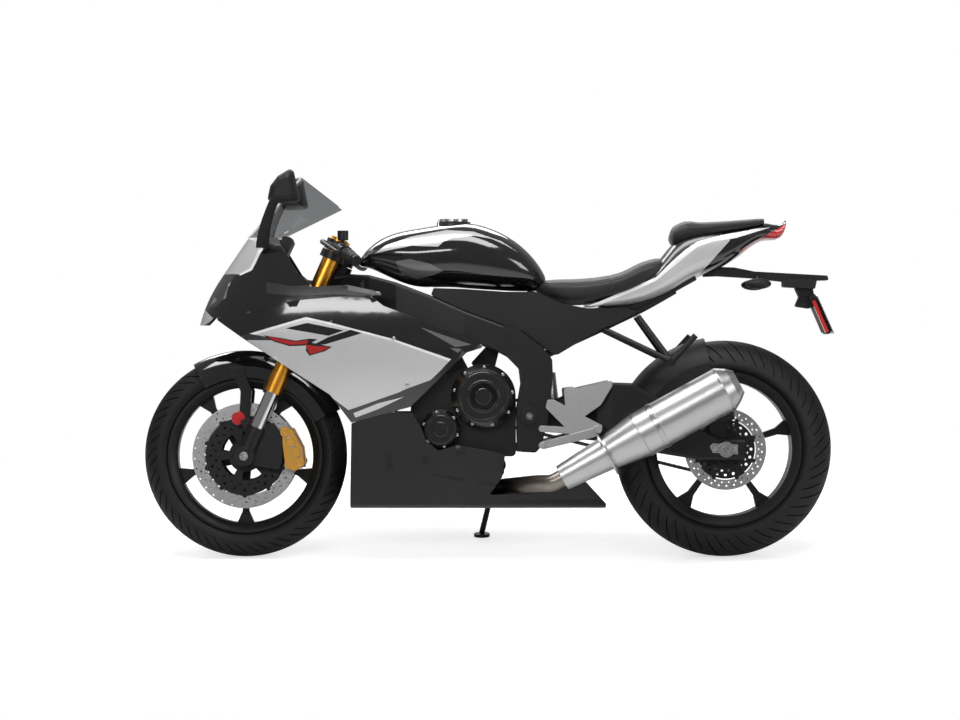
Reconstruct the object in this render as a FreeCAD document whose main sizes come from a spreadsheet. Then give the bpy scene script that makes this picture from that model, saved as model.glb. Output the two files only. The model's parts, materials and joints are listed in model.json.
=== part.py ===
"""A sports motorcycle parked on its side stand, as separate sub-parts in millimetres.

The bike is drawn upright: X forward, Y to the rider's left, Z up, with the ground line of the two tyres
as the X axis. The last section leans it over onto the stand and writes one STEP file per sub-part.
"""

import FreeCAD, Part
import json
import math
import os

import Sketcher
from FreeCAD import Placement, Rotation, Vector

doc = FreeCAD.newDocument("Motorcycle")

# ---------------------------------------------------------------- driving dimensions

DIMENSIONS = [
    ("wheelbase", 1416, "front axle to rear axle"),
    ("front_axle_reach", 708, "front axle ahead of the engine's middle"),
    ("front_tyre_radius", 300, "120/70 tyre on a 17 inch rim"),
    ("front_tyre_width", 120, "widest point of the front tyre"),
    ("rear_tyre_radius", 320, "190/55 tyre on a 17 inch rim"),
    ("rear_tyre_width", 190, "widest point of the rear tyre"),
    ("bead_radius", 216, "17 inch bead seat"),
    ("flange_radius", 228, "edge of the rim outside the bead"),
    ("rim_inner_radius", 200, "inside of the rim barrel, where the spokes end"),
    ("front_rim_width", 89, "between the flanges, 3.5 inches"),
    ("rear_rim_width", 152, "between the flanges, 6 inches"),
    ("tyre_clearance", 8, "tyre to mudguard and swingarm"),
    ("rake_angle", 23.8, "steering axis from the vertical, degrees"),
    ("fork_offset", 30, "fork legs ahead of the steering axis"),
    ("fork_spacing", 212, "between the centres of the fork legs"),
    ("fork_tube_radius", 25, "anodised outer tube"),
    ("fork_slider_radius", 20.5, "chromed inner tube"),
    ("axle_radius", 12.5, "both axles"),
    ("axle_bore_radius", 8, "the hole through both axles"),
    ("bearing_clearance", 0.1, "radial, hub on axle and stem in head"),
    ("front_disc_radius", 155, "both front brake discs"),
    ("rear_disc_radius", 120, "rear brake disc"),
    ("disc_thickness", 5, "all brake discs"),
    ("disc_clearance", 5, "caliper to disc, each side"),
    ("sprocket_radius", 81, "rear chain wheel, to its teeth"),
    ("drive_sprocket_radius", 31, "engine sprocket, to its teeth"),
    ("chain_width", 16, "over the side plates"),
    ("chain_depth", 13, "of the side plates"),
    ("pivot_behind", 131, "swingarm pivot behind the engine's middle"),
    ("pivot_height", 420, "swingarm pivot above the ground"),
    ("pivot_socket_radius", 11, "open ends of the pivot bolt"),
    ("pivot_socket_depth", 28, "how deep each open end is"),
    ("stem_radius", 20, "steering stem"),
    ("stem_bore_radius", 9, "hole up the steering stem"),
    ("muffler_radius", 68, "silencer sleeve"),
    ("fairing_half_width", 218, "widest point of the side panels"),
    ("panel_thickness", 4, "plastic panels"),
    ("seat_gap", 0.3, "between bodywork pieces that rest on each other"),
    ("lean_angle", 9.5, "parked lean towards the stand, degrees"),
    ("stand_reach", 285, "stand foot from the wheels' plane"),
    ("stand_foot_radius", 24, "round foot of the side stand"),
]

sheet = doc.addObject("Spreadsheet::Sheet", "Dimensions")
for row, (alias, value, meaning) in enumerate(DIMENSIONS, 1):
    sheet.set(f"A{row}", alias.replace("_", " "))
    sheet.set(f"B{row}", str(value))
    sheet.setAlias(f"B{row}", alias)
    sheet.set(f"C{row}", meaning)
doc.recompute()


def size(alias):
    """A driving dimension's value."""
    return float(sheet.get(alias))


# ---------------------------------------------------------------- construction helpers


def bind(thing, prop, value):
    """Sets a property to a number, or binds it to an expression on the sheet."""
    if isinstance(value, str):
        thing.setExpression(prop, value.replace("$", "Dimensions."))
    else:
        setattr(thing, prop, value)


def rounded(corners, radius):
    """Edges of a closed outline whose corners are rounded as far as their sides allow."""
    points = [Vector(*c, 0) for c in corners]
    count = len(points)
    if not radius:
        return [Part.LineSegment(points[k], points[(k + 1) % count]) for k in range(count)]
    ends = []
    for k, corner in enumerate(points):
        before = (points[k - 1] - corner)
        after = (points[(k + 1) % count] - corner)
        half_turn = before.getAngle(after) / 2
        back = min(radius / math.tan(half_turn), 0.45 * before.Length, 0.45 * after.Length)
        before.normalize()
        after.normalize()
        middle = before + after
        middle.normalize()
        inset = back / math.cos(half_turn) - back * math.tan(half_turn)
        ends.append((corner + before * back, corner + middle * inset, corner + after * back))
    edges = []
    for k in range(count):
        start, through, end = ends[k]
        edges.append(Part.Arc(start, through, end))
        edges.append(Part.LineSegment(end, ends[(k + 1) % count][0]))
    return edges


def origin_plane(body, role):
    """One of a body's own origin planes."""
    return next(f for f in body.Origin.OriginFeatures if f.Role == role)


def sketch(body, name, plane, corners, radius=0, offset=0):
    """A closed sketch in one of the body's origin planes, moved along its normal by offset.

    A sharp outline is fully dimensioned from the origin, and a corner may give an expression."""
    made = body.newObject("Sketcher::SketchObject", name)
    made.AttachmentSupport = [(origin_plane(body, plane), "")]
    made.MapMode = "FlatFace"
    made.AttachmentOffset = Placement(Vector(0, 0, offset), Rotation())
    numbers = [[doc_value(v) for v in corner] for corner in corners]
    made.addGeometry(rounded(numbers, radius), False)
    if radius:
        return made
    count = len(corners)
    for k in range(count):
        made.addConstraint(Sketcher.Constraint("Coincident", k, 2, (k + 1) % count, 1))
    for k, corner in enumerate(corners):
        for kind, given, number in zip(("DistanceX", "DistanceY"), corner, numbers[k]):
            index = made.addConstraint(Sketcher.Constraint(kind, -1, 1, k, 1, number))
            if isinstance(given, str):
                made.setExpression(f"Constraints[{index}]", given.replace("$", "Dimensions."))
    return made


def doc_value(given):
    """The number that an expression on the sheet stands for."""
    if not isinstance(given, str):
        return float(given)
    return worked_out(given.replace("$", ""), {alias: size(alias) for alias, _, _ in DIMENSIONS})


def worked_out(text, names):
    """Sums, differences, products and quotients of names and numbers, read from left to right."""
    tokens = text.replace("-", " - ").replace("+", " + ").replace("*", " * ").replace("/", " / ").split()
    total, term, sign, operation = 0.0, None, 1.0, None
    for token in tokens:
        if token in "+-":
            if term is not None:
                total += sign * term
                term = None
                sign = 1.0
            sign = -sign if token == "-" else sign
        elif token in "*/":
            operation = token
        else:
            number = names[token] if token in names else float(token)
            if operation == "*":
                term *= number
            elif operation == "/":
                term /= number
            else:
                term = number
            operation = None
    return total + sign * term


def turned(label, profile, radius=0):
    """A body turned about the Y axis through the origin; the profile's corners are (y, radius)."""
    body = doc.addObject("PartDesign::Body", label)
    outline = sketch(body, label + "_profile", "YZ_Plane", profile, radius)
    spin = body.newObject("PartDesign::Revolution", label + "_turn")
    spin.Profile = outline
    spin.ReferenceAxis = (outline, ["H_Axis"])
    spin.Angle = 360
    return body


def around_axle(body, label, corners, depth, count, feature="PartDesign::Pad", radius=0):
    """Pads or pockets repeated round the Y axis, equally on both sides of the XZ plane."""
    outline = sketch(body, label + "_outline", "XZ_Plane", corners, radius)
    doc.recompute()
    one = body.newObject(feature, label)
    one.Profile = outline
    one.SideType = "Symmetric"
    bind(one, "Length", depth)
    doc.recompute()
    ring = body.newObject("PartDesign::PolarPattern", label + "_ring")
    ring.Originals = [one]
    ring.Axis = (outline, ["N_Axis"])
    ring.Angle = 360
    ring.Occurrences = count
    body.Tip = ring
    return body


def plate(label, corners, y_low, y_high, radius=0):
    """A body cut from flat plate: corners are (x, z), and it lies between two y values."""
    body = doc.addObject("PartDesign::Body", label)
    outline = sketch(body, label + "_outline", "XZ_Plane", corners, radius, offset=-y_high)
    pad = body.newObject("PartDesign::Pad", label + "_pad")
    pad.Profile = outline
    pad.Length = y_high - y_low
    return body


def bar(label, start, end, radius):
    """A round bar from start to end; the radius may be an expression."""
    made = doc.addObject("Part::Cylinder", label)
    bind(made, "Radius", radius)
    made.Height = (end - start).Length
    made.Placement = Placement(start, Rotation(Vector(0, 0, 1), end - start))
    return made


def box(label, low, high):
    """A block between two opposite corners."""
    made = doc.addObject("Part::Box", label)
    made.Length, made.Width, made.Height = high - low
    made.Placement = Placement(low, Rotation())
    return made


def fuse(label, *things):
    """One solid made of several."""
    made = doc.addObject("Part::MultiFuse", label)
    made.Shapes = list(things)
    return made


def cut(label, base, *tools):
    """The base with the tools taken out of it."""
    made = doc.addObject("Part::Cut", label)
    made.Base = base
    made.Tool = tools[0] if len(tools) == 1 else fuse(label + "_tools", *tools)
    return made


def common(label, base, tool):
    """What two shapes share."""
    made = doc.addObject("Part::Common", label)
    made.Base = base
    made.Tool = tool
    return made


def mirrored(label, thing):
    """The same thing on the other side of the bike."""
    made = doc.addObject("Part::Mirroring", label)
    made.Source = thing
    made.Normal = Vector(0, 1, 0)
    return made


def pair(label, thing):
    """The thing and its mirror image, two solids that don't touch."""
    made = doc.addObject("Part::Compound", label)
    made.Links = [thing, mirrored(label + "_mirrored", thing)]
    return made


def group(label, *things):
    """Solids that don't touch, kept as one sub-part."""
    made = doc.addObject("Part::Compound", label)
    made.Links = list(things)
    return made


def feature(label, shape):
    """A free-form solid."""
    made = doc.addObject("Part::Feature", label)
    made.Shape = shape
    return made


def at(thing, place, angle=0):
    """Moves a thing to its place, turned about the Y axis by an angle in degrees."""
    thing.Placement = Placement(place, Rotation(Vector(0, 1, 0), angle))
    return thing


def spline(points, closed=False):
    """A smooth curve through the points."""
    curve = Part.BSplineCurve()
    curve.interpolate([Vector(*p) for p in points], PeriodicFlag=closed)
    return curve.toShape()


def blend_of(table, value):
    """A smooth line through a table of (position, amount), held level past its ends."""
    table = sorted(table)
    if value <= table[0][0]:
        return table[0][1]
    if value >= table[-1][0]:
        return table[-1][1]
    k = next(i for i in range(len(table) - 1) if value <= table[i + 1][0])
    slopes = []
    for i in (k, k + 1):
        left, right = table[max(i - 1, 0)], table[min(i + 1, len(table) - 1)]
        slopes.append((right[1] - left[1]) / (right[0] - left[0]))
    (x0, y0), (x1, y1) = table[k], table[k + 1]
    span = x1 - x0
    u = (value - x0) / span
    return (y0 * (1 + 2 * u) * (1 - u) ** 2 + slopes[0] * span * u * (1 - u) ** 2
            + y1 * u * u * (3 - 2 * u) + slopes[1] * span * u * u * (u - 1))


RING_POINTS = 20


def oval(x, z_low, z_high, half_width, fullness):
    """A closed curve across the bike: an ellipse at fullness 2, and squarer above that."""
    points = []
    for k in range(RING_POINTS):
        turn = 2 * math.pi * k / RING_POINTS
        c, s = math.cos(turn), math.sin(turn)
        y = half_width * math.copysign(abs(c) ** (2 / fullness), c)
        z = (z_low + z_high) / 2 + (z_high - z_low) / 2 * math.copysign(abs(s) ** (2 / fullness), s)
        points.append((x, y, z))
    return Part.Wire([spline(points, closed=True)])


def hull(label, stations):
    """A smooth solid through ovals, each (x, z low, z high, half width, fullness)."""
    return feature(label, Part.makeLoft([oval(*s) for s in stations], True, False))


def space_for(label, stations):
    """A hull that clears another by the seat gap all round, to cut its neighbours with."""
    gap = size("seat_gap")
    grown = [(x, low - gap, high + gap, wide + gap, full) for x, low, high, wide, full in stations]
    first, last = grown[0], grown[-1]
    ahead = math.copysign(gap, first[0] - last[0])
    return hull(label, [(first[0] + ahead, *first[1:]), *grown[1:-1], (last[0] - ahead, *last[1:])])


def pipe_shape(points, radius):
    """A round tube, straight runs joined by tangent arcs."""
    points = [Vector(*p) for p in points]
    edges, here = [], points[0]
    for k in range(1, len(points) - 1):
        before, after = points[k - 1] - points[k], points[k + 1] - points[k]
        shorter = min(before.Length, after.Length)
        half_turn = before.getAngle(after) / 2
        back = 0.45 * shorter
        before.normalize()
        after.normalize()
        middle = before + after
        middle.normalize()
        start, end = points[k] + before * back, points[k] + after * back
        through = points[k] + middle * (back / math.cos(half_turn) - back * math.tan(half_turn))
        edges += [Part.LineSegment(here, start).toShape(), Part.Arc(start, through, end).toShape()]
        here = end
    edges.append(Part.LineSegment(here, points[-1]).toShape())
    path = Part.Wire(edges)
    ring = Part.Wire([Part.Circle(points[0], points[1] - points[0], radius).toShape()])
    return path.makePipeShell([ring], True, False)


def pipe(label, points, radius):
    """A bent tube as a sub-part."""
    return feature(label, pipe_shape(points, radius))


def beam(label, stations):
    """A box beam through sections, each (x, z low, z high, y centre, thickness)."""
    wires = []
    for x, z_low, z_high, y, thick in stations:
        soft = min(thick, z_high - z_low) * 0.3
        corners = [(y - thick / 2, z_low), (y + thick / 2, z_low), (y + thick / 2, z_high), (y - thick / 2, z_high)]
        edges = [e.toShape() for e in rounded(corners, soft)]
        wire = Part.Wire(edges)
        wire.Placement = Placement(Vector(x, 0, 0), Rotation(Vector(1, 1, 1), 120))
        wires.append(wire)
    return feature(label, Part.makeLoft(wires, True, True))


NODES = []


def node(thing, label=None):
    """Keeps a finished sub-part; its Label names its file."""
    thing.Label = label or thing.Label
    NODES.append(thing)
    return thing


# ---------------------------------------------------------------- where the main points are

lean = math.radians(size("lean_angle"))
rake = math.radians(size("rake_angle"))
wheelbase = size("wheelbase")
front_x = size("front_axle_reach")
rear_x = front_x - wheelbase
CROWN_FLATNESS = 1.04          # crown radius over half the tyre's width
front_crown = CROWN_FLATNESS * size("front_tyre_width") / 2
rear_crown = CROWN_FLATNESS * size("rear_tyre_width") / 2
# A leaning tyre stands on the side of its crown, so its axle sits slightly higher.
front_z = size("front_tyre_radius") + front_crown * (1 / math.cos(lean) - 1)
rear_z = size("rear_tyre_radius") + rear_crown * (1 / math.cos(lean) - 1)
front_axle = Vector(front_x, 0, front_z)
rear_axle = Vector(rear_x, 0, rear_z)
pivot = Vector(-size("pivot_behind"), 0, size("pivot_height"))
up_the_fork = Vector(-math.sin(rake), 0, math.cos(rake))
ahead_of_fork = Vector(math.cos(rake), 0, math.sin(rake))
steering_foot = front_axle - ahead_of_fork * size("fork_offset")
leg_y = size("fork_spacing") / 2
side = Vector(0, 1, 0)


def fork_point(height, y=0.0):
    """A point on a fork leg's centre line, height millimetres up the leg from the axle."""
    return front_axle + up_the_fork * height + side * y


def stem_point(height):
    """A point on the steering axis, level with fork_point at the same height."""
    return steering_foot + up_the_fork * height


# ---------------------------------------------------------------- wheels


def tyre(label, centre, radius, width, rim_width):
    """A tyre with a round crown, seated between the rim's flanges."""
    outer, half = size(radius), size(width) / 2
    crown = CROWN_FLATNESS * half
    hub_line = outer - crown
    shoulder = hub_line + math.sqrt(crown ** 2 - half ** 2)
    bead_y = size(rim_width) / 2
    bead, flange = size("bead_radius"), size("flange_radius") + 2
    made = doc.addObject("PartDesign::Body", label)
    outline = made.newObject("Sketcher::SketchObject", label + "_profile")
    outline.AttachmentSupport = [(origin_plane(made, "YZ_Plane"), "")]
    outline.MapMode = "FlatFace"
    corners = [(half, shoulder), (bead_y, flange), (bead_y, bead), (-bead_y, bead), (-bead_y, flange), (-half, shoulder)]
    edges = [Part.LineSegment(Vector(*a, 0), Vector(*b, 0)) for a, b in zip(corners, corners[1:])]
    edges.append(Part.Arc(Vector(-half, shoulder, 0), Vector(0, outer, 0), Vector(half, shoulder, 0)))
    outline.addGeometry(edges, False)
    spin = made.newObject("PartDesign::Revolution", label + "_turn")
    spin.Profile = outline
    spin.ReferenceAxis = (outline, ["H_Axis"])
    spin.Angle = 360
    return node(at(made, centre))


SPOKES = 5
RIM_WALL = 7


def rim(label, centre, width, hub_ends, hub_radius, spoke_depth, first_spoke):
    """Cast wheel: barrel with flanges, hub bored for its axle, and five spokes."""
    half = size(width) / 2
    bead, flange, inner = "$bead_radius", "$flange_radius", "$rim_inner_radius"
    barrel = [
        (half, bead), (half, flange), (half + RIM_WALL, flange), (half + RIM_WALL, size("flange_radius") - RIM_WALL),
        (half - 8, inner), (8 - half, inner), (-half - RIM_WALL, size("flange_radius") - RIM_WALL),
        (-half - RIM_WALL, flange), (-half, flange), (-half, bead),
    ]
    body = turned(label, barrel)
    doc.recompute()
    low, high = hub_ends
    bore = "$axle_radius + $bearing_clearance"
    flange_z = hub_radius + 14
    hub = sketch(body, label + "_hub_profile", "YZ_Plane", [
        (low, bore), (high, bore), (high, flange_z), (high - 10, flange_z), (high - 16, hub_radius),
        (low + 16, hub_radius), (low + 10, flange_z), (low, flange_z)])
    hub_turn = body.newObject("PartDesign::Revolution", label + "_hub")
    hub_turn.Profile = hub
    hub_turn.ReferenceAxis = (hub, ["H_Axis"])
    hub_turn.Angle = 360
    doc.recompute()
    reach = size("rim_inner_radius") + 2
    spoke = [(-16, hub_radius - 4), (-8, 110), (-10, 165), (-26, reach), (26, reach), (10, 165), (8, 110), (16, hub_radius - 4)]
    around_axle(body, label + "_spokes", spoke, spoke_depth, SPOKES)
    return node(at(body, centre, first_spoke))


FRONT_DISC_Y = 66              # inner face of each front disc from the wheel's middle
HUB_GAP = 0.3                  # hub end to the spacer beside it
front_disc_out = FRONT_DISC_Y + size("disc_thickness")
tyre("front_tyre", front_axle, "front_tyre_radius", "front_tyre_width", "front_rim_width")
rim("front_rim", front_axle, "front_rim_width", (-FRONT_DISC_Y, FRONT_DISC_Y), 34, 34, 180)


def brake_disc(label, radius, inner_radius, bolt_radius, windows):
    """A drilled disc on the XZ plane: braking band, windowed carrier and centre hole."""
    body = turned(label, [(0, inner_radius), ("$disc_thickness", inner_radius),
                          ("$disc_thickness", radius), (0, radius)])
    doc.recompute()
    band = size(radius.strip("$")) * 0.74
    window = [(-13, bolt_radius), (13, bolt_radius), (20, band), (-20, band)]
    return around_axle(body, label + "_windows", window, 4 * size("disc_thickness"), windows,
                       "PartDesign::Pocket", radius=4)


left_disc = at(brake_disc("left_front_disc", "$front_disc_radius", 30, 58, 10), front_axle + side * FRONT_DISC_Y)
right_disc = at(brake_disc("right_front_disc", "$front_disc_radius", 30, 58, 10), front_axle - side * front_disc_out)
node(group("front_discs", left_disc, right_disc))

ARM_GAP_Y = size("rear_tyre_width") / 2 + size("tyre_clearance") + 26    # inside of each swingarm leg
REAR_DISC_Y = ARM_GAP_Y - 20
SPROCKET_Y = -(ARM_GAP_Y - 13)
SPROCKET_THICK = 6
tyre("rear_tyre", rear_axle, "rear_tyre_radius", "rear_tyre_width", "rear_rim_width")
rim("rear_rim", rear_axle, "rear_rim_width", (SPROCKET_Y, REAR_DISC_Y), 40, 44, 0)
node(at(brake_disc("rear_disc", "$rear_disc_radius", 30, 60, 6), rear_axle + side * REAR_DISC_Y))
sprocket = turned("rear_sprocket", [(0, 30), (SPROCKET_THICK, 30), (SPROCKET_THICK, "$sprocket_radius"), (0, "$sprocket_radius")])
doc.recompute()
around_axle(sprocket, "sprocket_windows", [(-9, 60), (9, 60), (13, 72), (-13, 72)], 4 * SPROCKET_THICK, 6,
            "PartDesign::Pocket", radius=3)
node(at(sprocket, rear_axle + side * (SPROCKET_Y - SPROCKET_THICK)))

# ---------------------------------------------------------------- front fork and steering

UPPER_YOKE = (632, 656)        # heights up the fork legs
LOWER_YOKE = (432, 464)
FORK_TOP = 700
STEM_TOP = UPPER_YOKE[1] + 8
SLIDER = (92, 205)             # chromed inner tube that shows
COLLAR_LENGTH = 62
COLLAR_STEP = 2.5
FOOT_Y = 84                    # inner face of the fork feet
AXLE_SPACER = 19               # radius of the spacers on both axles


def fork_leg():
    """The left leg's anodised tube, with the thicker collar at its lower end."""
    tube = bar("fork_tube_left", fork_point(SLIDER[1], leg_y), fork_point(FORK_TOP, leg_y), "$fork_tube_radius")
    collar = bar("fork_collar_left", fork_point(SLIDER[1], leg_y), fork_point(SLIDER[1] + COLLAR_LENGTH, leg_y),
                 f"$fork_tube_radius + {COLLAR_STEP}")
    return fuse("fork_leg_left", tube, collar)


node(pair("fork_tubes", fork_leg()))
node(pair("fork_sliders", bar("fork_slider_left", fork_point(SLIDER[0], leg_y), fork_point(SLIDER[1], leg_y),
                              "$fork_slider_radius")))


def at_axle(dx, dz):
    """A point in side view from the front axle."""
    return (front_x + dx, front_z + dz)


def fork_foot():
    """The left foot: the slider's socket, the axle clamp and the caliper's arm in one casting."""
    socket = bar("foot_socket", fork_point(18, leg_y), fork_point(SLIDER[0], leg_y), "$fork_slider_radius + 6")
    clamp = bar("foot_clamp", front_axle + side * FOOT_Y, front_axle + side * (leg_y + 24), 30)
    arm = plate("foot_caliper_arm", [at_axle(-14, 30), at_axle(-48, 92), at_axle(-86, 98), at_axle(-112, 62),
                                     at_axle(-112, -6), at_axle(-104, -40), at_axle(-60, -34), at_axle(-10, -24)],
                FOOT_Y + 6, FOOT_Y + 22, radius=10)
    lug = plate("foot_fender_lug", [at_axle(-34, 56), at_axle(-4, 72), at_axle(14, 104), at_axle(-12, 112), at_axle(-44, 84)],
                FOOT_Y, leg_y - 8, radius=5)
    solid = fuse("foot_casting", socket, clamp, arm, lug)
    return cut("fork_foot_left", solid, bar("foot_bore", front_axle, front_axle + side * 200, "$axle_radius + $seat_gap / 2"),
               bar("foot_spacer_space", front_axle + side * FRONT_DISC_Y, front_axle + side * FOOT_Y, AXLE_SPACER + 0.3),
               bar("foot_slider_space", fork_point(SLIDER[0], leg_y), fork_point(SLIDER[1], leg_y), "$fork_slider_radius"))


node(pair("fork_feet", fork_foot()))


def front_axle_spindle():
    """Hollow axle through both feet, with a spacer each side of the hub."""
    end = leg_y + 27
    rod = bar("axle_rod", front_axle - side * end, front_axle + side * end, "$axle_radius")
    inner, outer = FRONT_DISC_Y + HUB_GAP, FOOT_Y - size("seat_gap") / 2
    left = bar("axle_spacer_left", front_axle + side * inner, front_axle + side * outer, AXLE_SPACER)
    right = bar("axle_spacer_right", front_axle - side * outer, front_axle - side * inner, AXLE_SPACER)
    bore = bar("axle_bore", front_axle - side * (end + 1), front_axle + side * (end + 1), "$axle_bore_radius")
    return cut("front_axle", fuse("axle_turned", rod, left, right), bore)


node(front_axle_spindle())


def yoke(label, heights, reach):
    """A clamp across both legs and the stem: two ears and a bridge."""
    low, high = heights
    parts = [bar(label + "_hub", stem_point(low), stem_point(high), size("stem_radius") + 14)]
    for name, y in (("left", leg_y), ("right", -leg_y)):
        parts.append(bar(f"{label}_ear_{name}", fork_point(low, y), fork_point(high, y), size("fork_tube_radius") + 11))
    web = doc.addObject("Part::Box", label + "_web")
    web.Length, web.Width, web.Height = reach, size("fork_spacing"), high - low
    corner = stem_point(low) + ahead_of_fork * (-reach / 2 + size("fork_offset") / 2) - side * leg_y
    web.Placement = Placement(corner, Rotation(Vector(0, 1, 0), -size("rake_angle")))
    return parts + [web]


def yokes():
    """Upper and lower yokes joined by the hollow stem, bored for the fork legs."""
    stem = bar("steering_stem", stem_point(LOWER_YOKE[0] - 12), stem_point(STEM_TOP), "$stem_radius")
    solid = fuse("yoke_castings", stem, *yoke("upper_yoke", UPPER_YOKE, 44), *yoke("lower_yoke", LOWER_YOKE, 52))
    legs = [bar(f"yoke_bore_{name}", fork_point(300, y), fork_point(800, y), "$fork_tube_radius")
            for name, y in (("left", leg_y), ("right", -leg_y))]
    bore = bar("stem_bore", stem_point(300), stem_point(STEM_TOP + 20), "$stem_bore_radius")
    return cut("yokes", solid, *legs, bore)


node(yokes())

CLIP = (UPPER_YOKE[1] + 2, UPPER_YOKE[1] + 34)
bar_root = fork_point((CLIP[0] + CLIP[1]) / 2, leg_y)
bar_way = Vector(-0.26, 0.945, -0.19)
bar_way.normalize()
BAR_LENGTH = 252
GRIP_START = 116
GRIP_LENGTH = 122


def along_bar(distance):
    """A point on the left handlebar, from its clamp outwards."""
    return bar_root + bar_way * distance


def clip_on():
    """The left handlebar: clamp round the fork tube, bar and end weight, with the switch box on it."""
    clamp = bar("clip_clamp", fork_point(CLIP[0], leg_y), fork_point(CLIP[1], leg_y), size("fork_tube_radius") + 9)
    rod = bar("clip_rod", along_bar(20), along_bar(BAR_LENGTH), 11)
    weight = bar("clip_weight", along_bar(BAR_LENGTH - 14), along_bar(BAR_LENGTH), 15)
    switches = bar("clip_switches", along_bar(GRIP_START - 40), along_bar(GRIP_START - 2), 21)
    perch = bar("clip_perch", along_bar(GRIP_START - 62), along_bar(GRIP_START - 42), 19)
    boss = bar("clip_boss", along_bar(GRIP_START - 52), along_bar(GRIP_START - 52) + ahead_of_fork * 46, 9)
    solid = fuse("clip_solid", clamp, rod, weight, switches, perch, boss)
    return cut("clip_on_left", solid, bar("clip_bore", fork_point(600, leg_y), fork_point(800, leg_y), "$fork_tube_radius"))


grip_solid = bar("grip_solid", along_bar(GRIP_START), along_bar(GRIP_START + GRIP_LENGTH), 17)
grip_bore = bar("grip_bore", along_bar(0), along_bar(BAR_LENGTH + 10), 11)
node(pair("grips", cut("grip_left", grip_solid, grip_bore)))

LEVER_GAP = 4.2                # clears the boss where the bar sweeps back
lever_root = along_bar(GRIP_START - 52) + ahead_of_fork * (46 + LEVER_GAP)


def lever():
    """The left lever: a flat blade swept back along the grip, with a ball end."""
    blade = [lever_root + bar_way * -8, lever_root + bar_way * 22 + ahead_of_fork * 6,
             lever_root + bar_way * 96 + ahead_of_fork * 2, lever_root + bar_way * 168 - ahead_of_fork * 4]
    hub = bar("lever_hub", lever_root - bar_way * 10, lever_root + bar_way * 12, 8)
    hub.Placement.Base += ahead_of_fork * 8
    rod = pipe("lever_rod", [tuple(p + ahead_of_fork * 8) for p in blade], 5.5)
    ball = doc.addObject("Part::Sphere", "lever_ball")
    ball.Radius = 8
    ball.Placement.Base = blade[-1] + ahead_of_fork * 8
    return fuse("lever_left", hub, rod, ball)



def reservoir():
    """Brake fluid bottle on the left bar's lever perch."""
    base = along_bar(GRIP_START - 52) + Vector(-4, 0, 19.9)
    return fuse("reservoir_solid", bar("reservoir_stalk", base, base + Vector(0, 0, 12), 5),
                bar("reservoir_cup", base + Vector(0, 0, 9), base + Vector(0, 0, 37), 16))


left_bar, left_lever = clip_on(), lever()
node(group("handlebars", left_bar, mirrored("clip_on_right", left_bar), left_lever, mirrored("lever_right", left_lever),
           reservoir()))

FENDER_WALL = 3


def front_fender():
    """Mudguard over the front tyre, an arc of thin section, with a stay down to each fork foot."""
    gap = size("tyre_clearance")
    half = size("front_tyre_width") / 2 + gap
    top = size("front_tyre_radius") + gap
    body = doc.addObject("PartDesign::Body", "fender_arc")
    crown = half * 1.1
    centre = top - crown
    low = centre + math.sqrt(crown ** 2 - half ** 2)
    skirt = low - 34
    wall = FENDER_WALL
    outline = body.newObject("Sketcher::SketchObject", "fender_profile")
    outline.AttachmentSupport = [(origin_plane(body, "YZ_Plane"), "")]
    outline.MapMode = "FlatFace"
    inner = [Vector(half, skirt, 0), Vector(half, low, 0), Vector(0, top, 0), Vector(-half, low, 0), Vector(-half, skirt, 0)]
    outer = [Vector(half + wall, skirt, 0), Vector(half + wall, low, 0), Vector(0, top + wall, 0),
             Vector(-half - wall, low, 0), Vector(-half - wall, skirt, 0)]
    outline.addGeometry([
        Part.LineSegment(inner[0], inner[1]), Part.Arc(inner[1], inner[2], inner[3]),
        Part.LineSegment(inner[3], inner[4]), Part.LineSegment(inner[4], outer[4]),
        Part.LineSegment(outer[4], outer[3]), Part.Arc(outer[3], outer[2], outer[1]),
        Part.LineSegment(outer[1], outer[0]), Part.LineSegment(outer[0], inner[0])], False)
    spin = body.newObject("PartDesign::Revolution", "fender_turn")
    spin.Profile = outline
    spin.ReferenceAxis = (outline, ["H_Axis"])
    spin.Angle = 94
    at(body, front_axle, FENDER_START)
    seat = FOOT_Y - size("seat_gap")
    stay = plate("fender_stay", [at_axle(44, 258), at_axle(8, 264), at_axle(-22, 190), at_axle(-14, 96),
                                 at_axle(4, 86), at_axle(16, 104), at_axle(12, 190)], seat - 5, seat, radius=6)
    pad = plate("fender_pad", [at_axle(44, 258), at_axle(8, 264), at_axle(0, 236), at_axle(34, 230)], half, seat, radius=5)
    tab = plate("fender_tab", [at_axle(-60, 230), at_axle(-108, 232), at_axle(-98, 186), at_axle(-52, 186)],
                half, leg_y - size("fork_tube_radius") - COLLAR_STEP - size("seat_gap"), radius=6)
    left = fuse("fender_left", stay, pad, tab)
    return fuse("front_fender", body, left, mirrored("fender_right", left))


FENDER_START = 27 - 90 - 1
node(front_fender())


def front_caliper():
    """The left caliper, astride the disc's rear edge, bolted to its foot."""
    inner = FRONT_DISC_Y - 25
    outer = FOOT_Y + 20
    shell = plate("caliper_shell", [at_axle(-108, 72), at_axle(-138, 82), at_axle(-170, 22), at_axle(-176, -30),
                                    at_axle(-150, -44), at_axle(-122, -36)], inner, outer, radius=9)
    gap = size("disc_clearance")
    slot = bar("caliper_slot", front_axle + side * (FRONT_DISC_Y - gap), front_axle + side * (front_disc_out + gap),
               "$front_disc_radius + $disc_clearance")
    seat = -112 - size("seat_gap")
    arm = plate("caliper_arm_space", [at_axle(-40, 130), at_axle(seat, 130), at_axle(seat, -80), at_axle(-40, -80)],
                FOOT_Y, 140)
    return cut("front_caliper_left", shell, slot, arm)


node(pair("front_calipers", front_caliper()))

# ---------------------------------------------------------------- main frame

PLATE_Y = (130, 163)           # the frame's pivot plates, inside and outside faces
HEAD_HEIGHTS = (LOWER_YOKE[1] + 2, UPPER_YOKE[0] - 2)


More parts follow.
